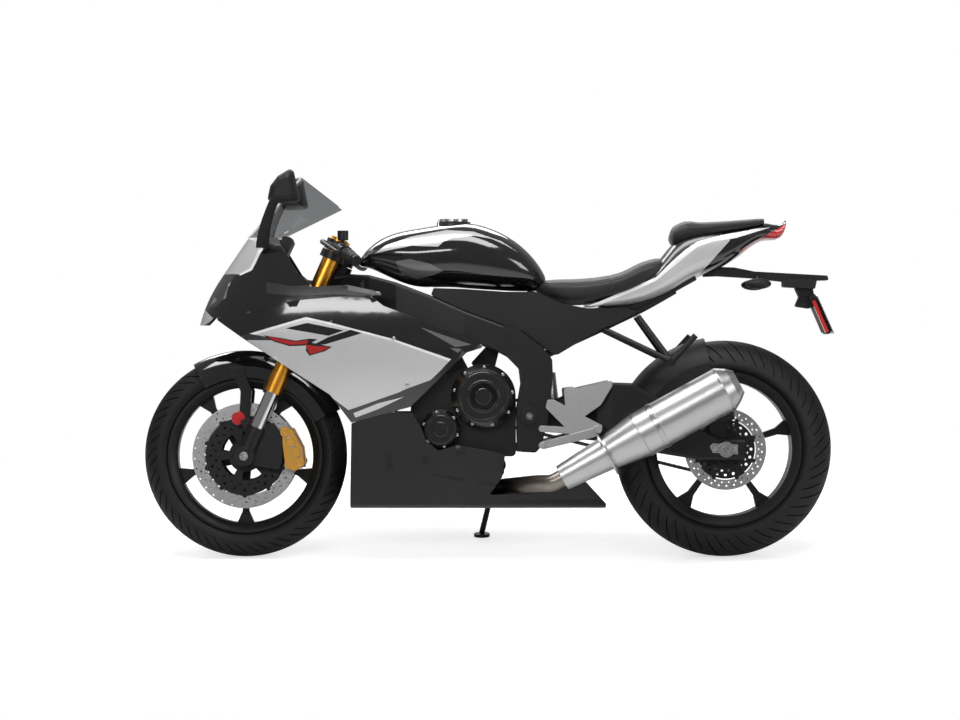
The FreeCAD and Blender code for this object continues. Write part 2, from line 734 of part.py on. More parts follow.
def main_frame():
    """Twin spars from the steering head round the engine to the swingarm pivot plates."""
    spar = beam("frame_spar", [
        (446, 758, 828, 26, 30), (400, 748, 838, 46, 38), (340, 738, 834, 80, 42), (260, 712, 812, 112, 40),
        (160, 680, 774, 134, 36), (60, 645, 728, 145, 34), (-30, 612, 694, 147, 33), (-100, 575, 668, 147, 33)])
    pivot_plate = plate("frame_plate", [
        (-20, 660), (-60, 684), (-111, 666), (-172, 620), (-198, 585), (-200, 540), (-196, 487), (-184, 400), (-166, 330),
        (-150, 312), (-104, 314), (-96, 330), (-94, 438), (-107, 512), (-102, 557), (-63, 597)], *PLATE_Y, radius=10)
    boss = bar("pivot_boss", pivot + side * PLATE_Y[0], pivot + side * (PLATE_Y[1] + 7), 24)
    left = fuse("frame_left", spar, pivot_plate, boss)
    head = bar("head_tube", stem_point(HEAD_HEIGHTS[0]), stem_point(HEAD_HEIGHTS[1]), size("stem_radius") + 16)
    crosses = [bar("cross_tube_upper", Vector(-160, -140, 600), Vector(-160, 140, 600), 17),
               bar("cross_tube_lower", Vector(-128, -140, 334), Vector(-128, 140, 334), 14),
               bar("tank_rail", Vector(352, -92, 806), Vector(352, 92, 806), 14)]
    solid = fuse("frame_solid", left, mirrored("frame_right", left), head, *crosses)
    head_bore = bar("head_bore", stem_point(300), stem_point(900), "$stem_radius + $bearing_clearance")
    outside = PLATE_Y[1] + 7
    sockets = [bar(f"pivot_socket_{name}", pivot + side * sign * (outside - size("pivot_socket_depth")),
                   pivot + side * sign * (outside + 5), "$pivot_socket_radius") for name, sign in (("left", 1), ("right", -1))]
    return cut("main_frame", solid, head_bore, *sockets)


node(main_frame())

# ---------------------------------------------------------------- engine, radiator and exhaust

CASE_Y = 118
SUMP_Y = 84
CHAIN_Y = SPROCKET_Y - SPROCKET_THICK / 2
drive = Vector(-48, CHAIN_Y, 430)
chain_half = size("chain_width") / 2


def engine():
    """Crankcase, sump and forward-leaning cylinder block, with the output shaft and its sprocket."""
    case = plate("crankcase", [(-92, 300), (-92, 470), (-40, 520), (60, 560), (215, 500), (222, 330), (190, 300)],
                 -CASE_Y, CASE_Y, radius=14)
    sump = plate("sump", [(-60, 304), (-40, 240), (120, 236), (160, 304)], -SUMP_Y, SUMP_Y, radius=10)
    cylinders = plate("cylinder_block", [(28, 520), (92, 640), (206, 596), (252, 500), (215, 460)], -108, 108, radius=12)
    reach = side * (PLATE_Y[0] - size("seat_gap"))
    low, high = Vector(-100, 0, 326), Vector(-40, 0, 640)
    mounts = [bar("engine_mount_low", low - reach, low + reach, 12),
              bar("engine_mount_high", high - reach, high + reach, 11)]
    hanger = plate("engine_hanger", [(-52, 648), (-28, 650), (40, 575), (10, 530), (-20, 520)], -60, 60, radius=6)
    solid = fuse("engine_casting", case, sump, cylinders, hanger, *mounts)
    space = size("drive_sprocket_radius") + size("chain_depth") + 12
    recess = box("chain_recess", Vector(-130, -CASE_Y - 1, drive.z - space),
                 Vector(drive.x + space, CHAIN_Y + chain_half + 4, drive.z + space))
    shaft = bar("output_shaft", drive + side * (chain_half + 6), drive - side * 4, 11)
    wheel = bar("drive_sprocket", drive - side * 3, drive + side * 3, "$drive_sprocket_radius")
    return fuse("engine_block", cut("engine_body", solid, recess), shaft, wheel)


node(engine())


def cover(label, x, z, radius, depth, side_sign):
    """A round engine cover, domed at its rim, bolted on the crankcase's side."""
    body = turned(label, [(0, 0), (0, radius), (depth * 0.62, radius), (depth, radius * 0.8), (depth, 0)])
    body.Placement = Placement(Vector(x, side_sign * CASE_Y, z), Rotation(Vector(0, 0, 1), 0 if side_sign > 0 else 180))
    return body


node(group("engine_covers", cover("clutch_cover", 4, 477, 95, 56, 1), cover("starter_cover", 129, 380, 58, 44, 1),
           cover("generator_cover", 118, 398, 74, 50, -1)))


def radiator():
    """Cooling core between its side tanks, leaning back with the fork."""
    core = plate("radiator_core", [(352, 430), (316, 424), (280, 640), (316, 648)], -128, 128, radius=4)
    tank = plate("radiator_tank", [(356, 426), (312, 418), (276, 644), (320, 654)], 128, 150, radius=6)
    stay = plate("radiator_stay", [(302, 640), (286, 636), (282, 718.6), (298, 723.8)], 84, 100)
    return fuse("radiator", core, tank, mirrored("radiator_tank_right", tank), stay, mirrored("radiator_stay_right", stay))


node(radiator())

HEADER_RADIUS = 19
PORT = Vector(229, 0, 548)     # middle of the cylinder block's front face
out_of_port = Vector(0.902, 0, 0.432)
COLLECTOR_RADIUS = 34
inlet = Vector(-226, 220, 240)
outlet = Vector(-700, 246, 500)
muffler_way = outlet - inlet
muffler_length = muffler_way.Length
muffler_way.normalize()


def header_pipes():
    """Four pipes from the cylinders down ahead of the engine into a collector, and the link to the silencer."""
    pipes = []
    for number, y in enumerate((-81, -27, 27, 81), 1):
        port = PORT + side * y
        pipes.append(pipe(f"header_{number}", [
            tuple(port + out_of_port * size("seat_gap")), tuple(port + out_of_port * 34), (278, y, 500), (278, y, 300),
            (230, y * 0.55, 212), (150, y * 0.4, 200)], HEADER_RADIUS))
    collector = bar("collector", Vector(176, 0, 200), Vector(-20, 0, 200), COLLECTOR_RADIUS)
    link = pipe("link_pipe", [(-10, 0, 200), (-62, 20, 208), (-150, 170, 222), tuple(inlet - muffler_way * 34), tuple(inlet)], 25)
    return fuse("exhaust_pipes", *pipes, collector, link)


exhaust_solid = header_pipes()
node(exhaust_solid)


def muffler():
    """Silencer: inlet ring, tapering front cone, straight sleeve and end cone with its outlet."""
    sleeve = size("muffler_radius")
    profile = [(size("seat_gap"), 0), (size("seat_gap"), 38), (22, 40), (150, sleeve * 0.74), (262, sleeve), (muffler_length, sleeve),
               (muffler_length + 26, sleeve - 16), (muffler_length + 44, 36), (muffler_length + 44, 28),
               (muffler_length - 30, 28), (muffler_length - 30, 0)]
    body = turned("muffler", profile)
    body.Placement = Placement(inlet, Rotation(Vector(0, 1, 0), muffler_way))
    return body


node(muffler())

# ---------------------------------------------------------------- swingarm, shock, chain and rear brake

ARM_THICK = 30
arm_y = ARM_GAP_Y + ARM_THICK / 2
axle_half = ARM_GAP_Y + ARM_THICK + 12


def along_arm(share):
    """How far back a section of the swingarm lies, as a share of the way from the pivot to the axle."""
    return pivot.x + (rear_x - pivot.x) * share


def swingarm_leg(label, sign, tops):
    """One leg: inside the frame at the pivot, then outside the tyre and the chain."""
    crossing = sign * 74
    sections = [
        (pivot.x + 16, 388, 452, crossing, 36), (along_arm(0.14), 374, tops[0], crossing, 36),
        (along_arm(0.23), 352, tops[1], sign * 84, 34), (along_arm(0.345), 346, tops[2], sign * (arm_y - 14), ARM_THICK),
        (along_arm(0.42), 336, tops[3], sign * arm_y, ARM_THICK), (along_arm(0.52), 324, tops[4], sign * arm_y, ARM_THICK),
        (along_arm(0.7), 306, tops[5], sign * arm_y, ARM_THICK), (along_arm(0.86), rear_z - 30, tops[6], sign * arm_y, ARM_THICK),
        (along_arm(0.965), rear_z - 32, rear_z + 30, sign * arm_y, ARM_THICK), (rear_x - 56, rear_z - 30, rear_z + 28, sign * arm_y, ARM_THICK)]
    return beam(label, sections)


def swingarm():
    """Two legs on a pivot tube, braced ahead of the tyre, with the shock's lower bracket."""
    left = swingarm_leg("swingarm_left", 1, (470, 492, 508, 518, 516, 455, 384))
    right = swingarm_leg("swingarm_right", -1, (470, 426, 426, 432, 492, 448, 384))
    reach = side * (PLATE_Y[0] - size("seat_gap"))
    tube = bar("pivot_tube", pivot - reach, pivot + reach, 25)
    brace = box("swingarm_brace", Vector(along_arm(0.29), -92, 354), Vector(along_arm(0.215), 92, 402))
    bracket = box("shock_bracket", Vector(along_arm(0.26), -22, 372), Vector(pivot.x, 22, 384))
    solid = fuse("swingarm_solid", left, right, tube, brace, bracket)
    return cut("swingarm", solid, bar("swingarm_axle_hole", rear_axle - side * 300, rear_axle + side * 300, "$axle_radius + $seat_gap / 2"))


node(swingarm())


def rear_axle_spindle():
    """Hollow rear axle with its spacers and end plates."""
    rod = bar("rear_rod", rear_axle - side * axle_half, rear_axle + side * axle_half, "$axle_radius")
    left = bar("rear_spacer_left", rear_axle + side * (REAR_DISC_Y + HUB_GAP), rear_axle + side * ARM_GAP_Y, AXLE_SPACER)
    right = bar("rear_spacer_right", rear_axle - side * ARM_GAP_Y, rear_axle + side * (SPROCKET_Y - HUB_GAP), AXLE_SPACER)
    outer = ARM_GAP_Y + ARM_THICK
    caps = [bar(f"rear_washer_{k}", rear_axle + side * sign * outer, rear_axle + side * sign * (outer + 6), 23)
            for k, sign in (("left", 1), ("right", -1))]
    bore = bar("rear_axle_bore", rear_axle - side * 300, rear_axle + side * 300, "$axle_bore_radius")
    return cut("rear_axle", fuse("rear_axle_turned", rod, left, right, *caps), bore)


node(rear_axle_spindle())


def shock():
    """Rear shock absorber between the frame's upper cross tube and the swingarm's bracket."""
    top, foot = Vector(-178, 0, 600 - 17 - 15), Vector(-196, 0, 384.3 + 15)
    eyes = [bar("shock_eye_top", top - side * 13, top + side * 13, 14.7), bar("shock_eye_foot", foot - side * 13, foot + side * 13, 14.7)]
    way = foot - top
    rod = bar("shock_rod", top, foot, 9)
    spring = bar("shock_spring", top + way * 0.14, top + way * 0.84, 30)
    return fuse("rear_shock", *eyes, rod, spring)


node(shock())


def loop_outline(offset):
    """The chain's path round both sprockets, moved outwards by offset, as a wire in side view."""
    small, large = size("drive_sprocket_radius") + 6 + offset, size("sprocket_radius") + 6 + offset
    first, last = Vector(drive.x, 0, drive.z), Vector(rear_x, 0, rear_z)
    gap = last - first
    slope = math.atan2(gap.z, -gap.x)
    tilt = math.asin((large - small) / gap.Length)
    ends = []
    for sign in (1, -1):
        turn = slope + sign * (math.pi / 2 + tilt)
        out = Vector(-math.cos(turn), 0, math.sin(turn))
        ends.append((first + out * small, last + out * large))
    ahead = Vector(math.cos(slope), 0, -math.sin(slope))
    return Part.Wire([
        Part.LineSegment(ends[0][0], ends[0][1]).toShape(),
        Part.Arc(ends[0][1], last - ahead * large, ends[1][1]).toShape(),
        Part.LineSegment(ends[1][1], ends[1][0]).toShape(),
        Part.Arc(ends[1][0], first + ahead * small, ends[0][0]).toShape()])


def chain():
    """The drive chain as one band round both sprockets."""
    half_depth = size("chain_depth") / 2
    outer, inner = Part.Face(loop_outline(half_depth)), Part.Face(loop_outline(-half_depth + 1.5))
    band = outer.cut(inner).extrude(side * size("chain_width"))
    band.translate(side * (CHAIN_Y - chain_half))
    return feature("chain", band.Solids[0] if band.Solids else band)


node(chain())


def rear_caliper():
    """Caliper over the rear disc, on a bracket inside the left leg."""
    gap = size("disc_clearance")
    disc_out = REAR_DISC_Y + size("disc_thickness")
    reach = size("rear_disc_radius")
    x, z = rear_x + 18, rear_z + reach
    shell = plate("rear_caliper_shell", [(x - 44, z - 34), (x + 42, z - 42), (x + 46, z + 6), (x + 8, z + 24), (x - 38, z + 20)],
                  REAR_DISC_Y - 22, disc_out + 22, radius=8)
    slot = bar("rear_caliper_slot", rear_axle + side * (REAR_DISC_Y - gap), rear_axle + side * (disc_out + gap),
               reach + gap)
    arm = plate("rear_caliper_arm", [(x - 30, z - 20), (x + 30, z - 20), (rear_x + 44, rear_z - 24), (rear_x + 14, rear_z - 26)],
                disc_out + gap, ARM_GAP_Y, radius=6)
    held = cut("rear_caliper_arm_bored", arm, bar("rear_caliper_bore", rear_axle, rear_axle + side * 200, 19.3))
    return fuse("rear_caliper", cut("rear_caliper_body", shell, slot), held)


node(rear_caliper())


def hugger():
    """Mudguard close over the front of the rear tyre, carried by the swingarm's legs."""
    gap = size("tyre_clearance")
    half = size("rear_tyre_width") / 2 + gap
    top = size("rear_tyre_radius") + gap
    body = doc.addObject("PartDesign::Body", "hugger_arc")
    crown = half * 1.08
    centre = top - crown
    low = centre + math.sqrt(crown ** 2 - half ** 2)
    skirt = low - 40
    wall = 4
    outline = body.newObject("Sketcher::SketchObject", "hugger_profile")
    outline.AttachmentSupport = [(origin_plane(body, "YZ_Plane"), "")]
    outline.MapMode = "FlatFace"
    outline.addGeometry([
        Part.LineSegment(Vector(half, skirt, 0), Vector(half, low, 0)),
        Part.Arc(Vector(half, low, 0), Vector(0, top, 0), Vector(-half, low, 0)),
        Part.LineSegment(Vector(-half, low, 0), Vector(-half, skirt, 0)),
        Part.LineSegment(Vector(-half, skirt, 0), Vector(-half - wall, skirt, 0)),
        Part.LineSegment(Vector(-half - wall, skirt, 0), Vector(-half - wall, low, 0)),
        Part.Arc(Vector(-half - wall, low, 0), Vector(0, top + wall, 0), Vector(half + wall, low, 0)),
        Part.LineSegment(Vector(half + wall, low, 0), Vector(half + wall, skirt, 0)),
        Part.LineSegment(Vector(half + wall, skirt, 0), Vector(half, skirt, 0))], False)
    spin = body.newObject("PartDesign::Revolution", "hugger_turn")
    spin.Profile = outline
    spin.ReferenceAxis = (outline, ["H_Axis"])
    spin.Angle = 58
    at(body, rear_axle, HUGGER_START)
    foot = plate("hugger_foot", [(rear_x + dx, rear_z + dz) for dx, dz in ((203, 120), (232, 120), (238, 146), (206, 146))],
                 half, ARM_GAP_Y - 0.3, radius=6)
    return fuse("rear_hugger", body, foot, mirrored("hugger_foot_right", foot))


HUGGER_START = 10
node(hugger())

# ---------------------------------------------------------------- bodywork surfaces

SIDE_BULGE = [(140, 0.26), (150, 0.43), (175, 0.56), (220, 0.64), (300, 0.715), (400, 0.815), (500, 0.915), (600, 0.98),
              (660, 1.0), (720, 0.995), (780, 0.96), (830, 0.9), (880, 0.8), (930, 0.68), (970, 0.58)]
TAIL_TAPER = [(-380, 0.5), (-240, 0.66), (-120, 0.84), (0, 0.95), (150, 0.99), (300, 1.0), (340, 1.0)]
NOSE_EDGE = [(660, 852), (692, 843), (740, 828), (800, 798), (880, 745), (945, 700), (980, 672)]
NOSE_START = 300


def half_width(x, z):
    """How far the fairing stands out from the middle at a point in side view."""
    widest = size("fairing_half_width") * blend_of(SIDE_BULGE, z) * blend_of(TAIL_TAPER, x)
    tip = blend_of(NOSE_EDGE, z)
    share = min(max((x - NOSE_START) / (tip - NOSE_START), 0.0), 1.0)
    return widest * (1 - share ** 2.3) ** 0.56


def side_skin(label, x_range, z_range, inset=0.0, x_steps=9, z_steps=9):
    """A thin panel on the fairing's left surface, over a rectangle in side view."""
    thick = size("panel_thickness")
    wires = []
    for i in range(x_steps):
        x = x_range[0] + (x_range[1] - x_range[0]) * i / (x_steps - 1)
        levels = [z_range[0] + (z_range[1] - z_range[0]) * j / (z_steps - 1) for j in range(z_steps)]
        outer = [(x, half_width(x, z) - inset, z) for z in levels]
        inner = [(x, half_width(x, z) - inset - thick, z) for z in levels]
        wires.append(Part.Wire([
            spline(outer), Part.LineSegment(Vector(*outer[-1]), Vector(*inner[-1])).toShape(),
            spline(inner[::-1]), Part.LineSegment(Vector(*inner[0]), Vector(*outer[0])).toShape()]))
    return feature(label, Part.makeLoft(wires, True, False))


SIDE_PANEL = [(797, 707.2), (714, 650), (452, 482), (390, 400), (218, 446), (54, 606), (4, 622), (14, 634), (120, 676),
              (296, 742), (330, 769), (420, 769.2), (561, 757.2), (690, 720.2), (762, 710.2)]
side_panel = common("side_panel_trimmed", side_skin("side_panel_skin", (-10, 790), (380, 800)),
                    plate("side_panel_edge", SIDE_PANEL, 30, 300, radius=5))
node(side_panel, "left_fairing")
node(mirrored("right_fairing", side_panel))

NOSE_RINGS = (684, 720, 770, 820, 870, 910, 945)
NOSE_POINTS = 9


def nose_ring(z, inset):
    """The nose in plan at one height, from the right side round the front to the left, open at the back."""
    tip = blend_of(NOSE_EDGE, z)
    points = []
    for k in range(-NOSE_POINTS, NOSE_POINTS + 1):
        turn = abs(k) / NOSE_POINTS
        x = NOSE_START + (tip - NOSE_START) * (1 - turn ** 2.2) ** 0.8
        y = half_width(x, z)
        points.append((x - inset * (1 - turn), math.copysign(max(y - inset * min(1.0, turn * 3), 0.0), k), z))
    return points


def nose_shell():
    """The nose's skin as a solid, before it is trimmed in side view."""
    thick = size("panel_thickness")
    wires = []
    for z in NOSE_RINGS:
        outer, inner = nose_ring(z, 0), nose_ring(z, thick)
        wires.append(Part.Wire([
            spline(outer), Part.LineSegment(Vector(*outer[-1]), Vector(*inner[-1])).toShape(),
            spline(inner[::-1]), Part.LineSegment(Vector(*inner[0]), Vector(*outer[0])).toShape()]))
    return feature("nose_skin", Part.makeLoft(wires, True, False))


NOSE_SIDE = [(900, 686), (900, 960), (617, 960), (600, 925), (548, 838), (500, 797), (400, 803), (306, 782), (300, 772), (420, 770),
             (561, 758), (690, 721), (762, 711), (800, 708), (820, 686)]
nose = common("nose_trimmed", nose_shell(), plate("nose_edge", NOSE_SIDE, -300, 300, radius=5))
HEADLIGHT = [(826, 735), (822, 760), (788, 812), (752, 838), (735, 838), (756, 800), (764, 768), (792, 742)]
light_space = plate("headlight_space", HEADLIGHT, 34, 260, radius=6)
light_solid = common("headlight_skin", nose, light_space)
node(cut("nose_cowl", nose, light_space, mirrored("headlight_space_right", light_space)))
node(pair("headlights", light_solid))

BELLY_SIDE = [(390, 399.2), (220, 444.7), (186, 385), (170, 345), (135, 318), (82, 334), (-7, 319), (-60, 306), (-52, 240),
              (-24, 200), (-12, 187), (-140, 190), (-190, 216), (-290, 234), (-360, 158), (-356, 120), (398, 120), (396, 150)]
BELLY_LEVELS = (430, 360, 290, 230, 190, 165)
BELLY_FLOOR = 146


def belly_section(x):
    """A thin U across the bike: both walls and the floor of the belly pan."""
    thick = size("panel_thickness")
    walls = [(half_width(x, z), z) for z in BELLY_LEVELS]
    low = walls[-1][0]
    half_outer = walls + [(low * 0.72, BELLY_FLOOR + 5), (low * 0.4, BELLY_FLOOR)]
    half_inner = [(y - thick, z) for y, z in walls] + [(low * 0.7, BELLY_FLOOR + 5 + thick), (low * 0.4, BELLY_FLOOR + thick)]
    outer = [(x, y, z) for y, z in half_outer] + [(x, -y, z) for y, z in half_outer[::-1]]
    inner = [(x, y, z) for y, z in half_inner] + [(x, -y, z) for y, z in half_inner[::-1]]
    return Part.Wire([
        spline(outer), Part.LineSegment(Vector(*outer[-1]), Vector(*inner[-1])).toShape(),
        spline(inner[::-1]), Part.LineSegment(Vector(*inner[0]), Vector(*outer[0])).toShape()])


belly_skin = feature("belly_skin", Part.makeLoft([belly_section(x) for x in (400, 280, 160, 40, -80, -200, -290, -365)], True, False))
belly_trimmed = common("belly_trimmed", belly_skin, plate("belly_edge", BELLY_SIDE, -300, 300, radius=5))
# The right wall stops ahead of the side stand and its bracket.
stand_notch = box("stand_notch", Vector(-170, -260, 200), Vector(6, -60, 340))
node(cut("belly_pan", belly_trimmed, stand_notch))

SCREEN_STEPS = 6
SCREEN_THICKNESS = 3
SCREEN_POINTS = 6


def screen_section(u):
    """A curve across the windscreen, u from its base to its top rim."""
    centre = Vector(703 - 156 * u - 8 * u * (1 - u), 0, 945 + 183 * u)
    edge = Vector(606 - 176 * u, 0, 948 + 88 * u)
    back = edge - centre
    inwards = Vector(back).normalize() * SCREEN_THICKNESS
    width = 128 + 8 * u
    outer, inner = [], []
    for k in range(-SCREEN_POINTS, SCREEN_POINTS + 1):
        v = k / SCREEN_POINTS
        point = centre + back * (v * v) + side * (width * v)
        outer.append(tuple(point))
        inner.append(tuple(point + inwards))
    return Part.Wire([
        spline(outer), Part.LineSegment(Vector(*outer[-1]), Vector(*inner[-1])).toShape(),
        spline(inner[::-1]), Part.LineSegment(Vector(*inner[0]), Vector(*outer[0])).toShape()])


node(feature("windscreen", Part.makeLoft([screen_section(k / (SCREEN_STEPS - 1)) for k in range(SCREEN_STEPS)], True, False)))

TANK = [(372, 866, 872, 34, 2.2), (352, 858, 905, 84, 2.4), (300, 838, 945, 118, 2.4), (200, 802, 972, 146, 2.5), (109, 800, 986, 154, 2.5),
        (45, 796, 988, 152, 2.5), (-14, 792, 974, 144, 2.5), (-87, 788, 937, 124, 2.4), (-140, 788, 890, 96, 2.3), (-168, 792, 852, 64, 2.2),
        (-180, 806, 828, 26, 2.0)]
tank_form = hull("tank_form", TANK)
RIDER_SEAT = [(-150, 790, 800, 30, 2.2), (-166, 776, 813, 66, 2.4), (-205, 754, 819, 104, 2.8), (-274, 746, 821, 130, 3), (-340, 756, 827, 140, 3),
              (-403, 772, 841, 142, 3), (-462, 794, 869, 134, 3), (-512, 820, 882, 118, 2.8), (-545, 846, 872, 84, 2.4)]
rider_form = hull("rider_seat_form", RIDER_SEAT)
REAR_SEAT = [(-548, 934, 952, 56, 2.2), (-560, 922, 976, 84, 2.4), (-596, 938, 992, 100, 2.8), (-640, 950, 989, 100, 3), (-720, 964, 993, 92, 3),
             (-800, 979, 999, 76, 3), (-826, 986, 1000, 62, 2.6)]
rear_form = hull("passenger_seat_form", REAR_SEAT)
TAIL = [(-296, 738, 748, 118, 2.6), (-350, 738, 775, 128, 2.8), (-423, 742, 812, 130, 2.8), (-500, 760, 860, 126, 2.8), (-560, 786, 930, 116, 2.8),
        (-620, 822, 968, 106, 2.8), (-680, 848, 976, 98, 2.8), (-760, 896, 984, 84, 2.6), (-830, 938, 990, 66, 2.6), (-892, 978, 998, 44, 2.4)]
tail_form = hull("tail_form", TAIL)
tail_cut = cut("tail_hollowed", tail_form, space_for("rider_seat_space", RIDER_SEAT), space_for("rear_seat_space", REAR_SEAT))
tail_space = space_for("tail_space", TAIL)

LAMP_SIDE = [(-930, 1008), (-756, 909), (-756, 860), (-930, 900)]
lamp_space = plate("tail_light_space", LAMP_SIDE, -200, 200)
node(cut("tail_cowl", tail_cut, lamp_space))
node(common("tail_light", tail_cut, lamp_space))
node(cut("rider_seat", rider_form, space_for("tank_space", TANK)))
node(rear_form, "passenger_seat")

CAP_PLACE = Vector(92, 0, 988)
CAP_RADIUS = 42
ring_seat = bar("filler_seat", CAP_PLACE - Vector(0, 0, 30), CAP_PLACE + Vector(0, 0, 5), 50)
node(fuse("fuel_tank", tank_form, ring_seat))
cap_disc = bar("cap_disc", CAP_PLACE + Vector(0, 0, 5.6), CAP_PLACE + Vector(0, 0, 13.6), CAP_RADIUS)
cap_lug = box("cap_lug", CAP_PLACE + Vector(CAP_RADIUS - 8, -11, 5.6), CAP_PLACE + Vector(CAP_RADIUS + 5, 11, 13.6))
node(fuse("fuel_cap", cap_disc, cap_lug))
cap_hinge = CAP_PLACE + Vector(CAP_RADIUS + 5, 0, 5.6)

COVER_SIDE = [(158, 775), (150, 795), (60, 792), (-60, 784), (-150, 784), (-226, 750), (-300, 736), (-420, 738), (-452, 724),
              (-330, 668), (-216, 600), (-204, 598), (-173, 622.5), (-112, 668.55), (-100, 670.15), (-30, 695.95), (60, 729.95)]


def side_cover():
    """The left dark panel below tank and seat, from the frame's top edge up."""
    thick = size("panel_thickness")
    stations = [(210, 146, 138), (100, 152, 146), (-40, 150, 140), (-150, 142, 124), (-260, 132, 118), (-360, 122, 112), (-460, 112, 104)]
    wires = []
    for x, low_y, high_y in stations:
        outer = [(x, low_y + (high_y - low_y) * u * u, 590 + 215 * u) for u in (0, 0.25, 0.5, 0.75, 1)]
        inner = [(a, b - thick, c) for a, b, c in outer]
        wires.append(Part.Wire([
            spline(outer), Part.LineSegment(Vector(*outer[-1]), Vector(*inner[-1])).toShape(),
            spline(inner[::-1]), Part.LineSegment(Vector(*inner[0]), Vector(*outer[0])).toShape()]))
    skin = feature("side_cover_skin", Part.makeLoft(wires, True, False))
    return common("side_cover_left", skin, plate("side_cover_edge", COVER_SIDE, 60, 240, radius=5))


node(pair("side_covers", side_cover()))

# ---------------------------------------------------------------- subframe, tail fittings and lamps


def subframe():
    """Seat rails from the frame's top corners back under the tail."""
    upper = pipe("seat_rail_upper", [(-104, 120, 655), (-150, 108, 700), (-300, 92, 722), (-460, 84, 742), (-620, 58, 830)], 12)
    lower = pipe("seat_rail_lower", [(-186, 120, 602), (-230, 106, 626), (-340, 94, 676), (-470, 84, 738), (-560, 70, 790)], 12)
    upper_right, lower_right = mirrored("seat_rail_upper_right", upper), mirrored("seat_rail_lower_right", lower)
    crosses = [bar("seat_cross_front", Vector(-200, -112, 706), Vector(-200, 112, 706), 9),
               bar("seat_cross_rear", Vector(-430, -92, 736), Vector(-430, 92, 736), 9),
               bar("tank_foot", Vector(-138, 0, 690), Vector(-138, 0, 787.7), 12),
               bar("tank_cross", Vector(-138, -112, 690), Vector(-138, 112, 690), 9)]
    return cut("subframe", fuse("subframe_tubes", upper, lower, upper_right, lower_right, *crosses),
               tail_space, doc.getObject("rider_seat_space"), fuse("subframe_frame_space", doc.getObject("frame_left"), doc.getObject("frame_right")))


node(subframe())


def rear_mudguard():
    """Plate carrier: an arm back from under the tail, the lamp box and the sloping board."""
    arm = plate("carrier_arm", [(-640, 830), (-676, 860), (-740, 858), (-800, 846), (-1016, 834), (-1020, 820), (-880, 816), (-790, 826), (-690, 832)],
                -26, 26, radius=4)
    lamp = plate("carrier_lamp", [(-884, 820), (-884, 800), (-978, 794), (-984, 822)], -44, 44, radius=5)
    neck = plate("carrier_neck", [(-918, 800), (-932, 770), (-920, 742), (-960, 736), (-984, 744), (-972, 800)], -24, 24, radius=5)
    board = plate("carrier_board", [(-958, 770), (-976, 780), (-1026, 668), (-1012, 658)], -60, 60, radius=4)
    return cut("rear_mudguard", fuse("carrier", arm, lamp, neck, board), tail_space,
               *[bar(f"plate_hole_{k}", plate_centre + side * y - plate_normal * 30, plate_centre + side * y + plate_normal * 30, 3.5)
                 for k, y in (("left", 35), ("right", -35))])


plate_normal = Vector(-0.913, 0, 0.408)
plate_centre = Vector(-1001.9, 0, 722)
PLATE_HOLE_SPACING = 70
node(rear_mudguard())


def licence_plate():
    """A blank plate on the board."""
    made = doc.addObject("Part::Box", "licence_plate_blank")
    made.Length, made.Width, made.Height = 2, 178, 120
    turn = math.degrees(math.atan2(plate_normal.z, -plate_normal.x))
    made.Placement = Placement(plate_centre + Vector(0, -89, 0), Rotation(Vector(0, 1, 0), turn))
    local = Rotation(Vector(0, 1, 0), turn)
    made.Placement.Base = plate_centre - side * 89 + plate_normal * (2 + size("seat_gap")) - local.multVec(Vector(0, 0, 66))
    holes = [bar(f"licence_hole_{k}", plate_centre + side * y - plate_normal * 30, plate_centre + side * y + plate_normal * 30, 3.5)
             for k, y in (("left", 35), ("right", -35))]
    return cut("licence_plate", made, *holes)


node(licence_plate())


def indicator():
    """The left rear indicator on its stalk."""
    lamp = doc.addObject("Part::Ellipsoid", "indicator_lamp")
    lamp.Radius1, lamp.Radius2, lamp.Radius3 = 16, 38, 24
    lamp.Placement = Placement(Vector(-806, 104, 808), Rotation())
    stalk = bar("indicator_stalk", Vector(-806, 26, 832), Vector(-806, 96, 812), 6)
    return fuse("indicator_left", lamp, stalk)


node(pair("rear_indicators", cut("indicator_trimmed", indicator(), doc.getObject("carrier_arm"))))

# ---------------------------------------------------------------- footrests, controls, mirrors and instruments

REST_Y = 164


def footrest():
    """The left rider's footrest: Y-shaped hanger bolted to the frame, and its peg."""
    spine = plate("hanger_spine", [(-178, 444), (-184, 468), (-206, 466), (-290, 420), (-345, 392), (-340, 368), (-300, 362), (-250, 372)], REST_Y, REST_Y + 12, radius=6)
    upright = plate("hanger_upright", [(-232, 500), (-268, 504), (-280, 420), (-262, 380), (-240, 380)], REST_Y, REST_Y + 12, radius=6)
    foot = plate("hanger_foot", [(-160, 392), (-160, 374), (-262, 366), (-262, 386)], REST_Y, REST_Y + 12, radius=5)
    guard = plate("heel_guard", [(-258, 498), (-270, 430), (-292, 418), (-340, 452), (-374, 508), (-374, 524)], REST_Y + 3, REST_Y + 7, radius=6)
    peg_start = Vector(-330, REST_Y + 6, 382)
    peg = bar("rider_peg", peg_start, peg_start + side * 84, 11)
    spacers = [bar(f"hanger_bolt_{k}", Vector(x, PLATE_Y[1], z), Vector(x, REST_Y + 4, z), 8) for k, x, z in (("high", -190, 456), ("low", -166, 382))]
    return fuse("footrest_left", spine, upright, foot, guard, peg, *spacers)



def foot_lever():
    """The left foot lever, pivoted at the peg and running forward, with its toe peg."""
    arm = plate("foot_lever_arm", [(-338, 376), (-322, 358), (-170, 322), (-156, 336), (-166, 344), (-318, 384)], REST_Y + 12.3, REST_Y + 22, radius=5)
    toe = bar("toe_peg", Vector(-166, REST_Y + 14, 334), Vector(-166, REST_Y + 56, 334), 9)
    return fuse("foot_lever_solid", arm, toe)


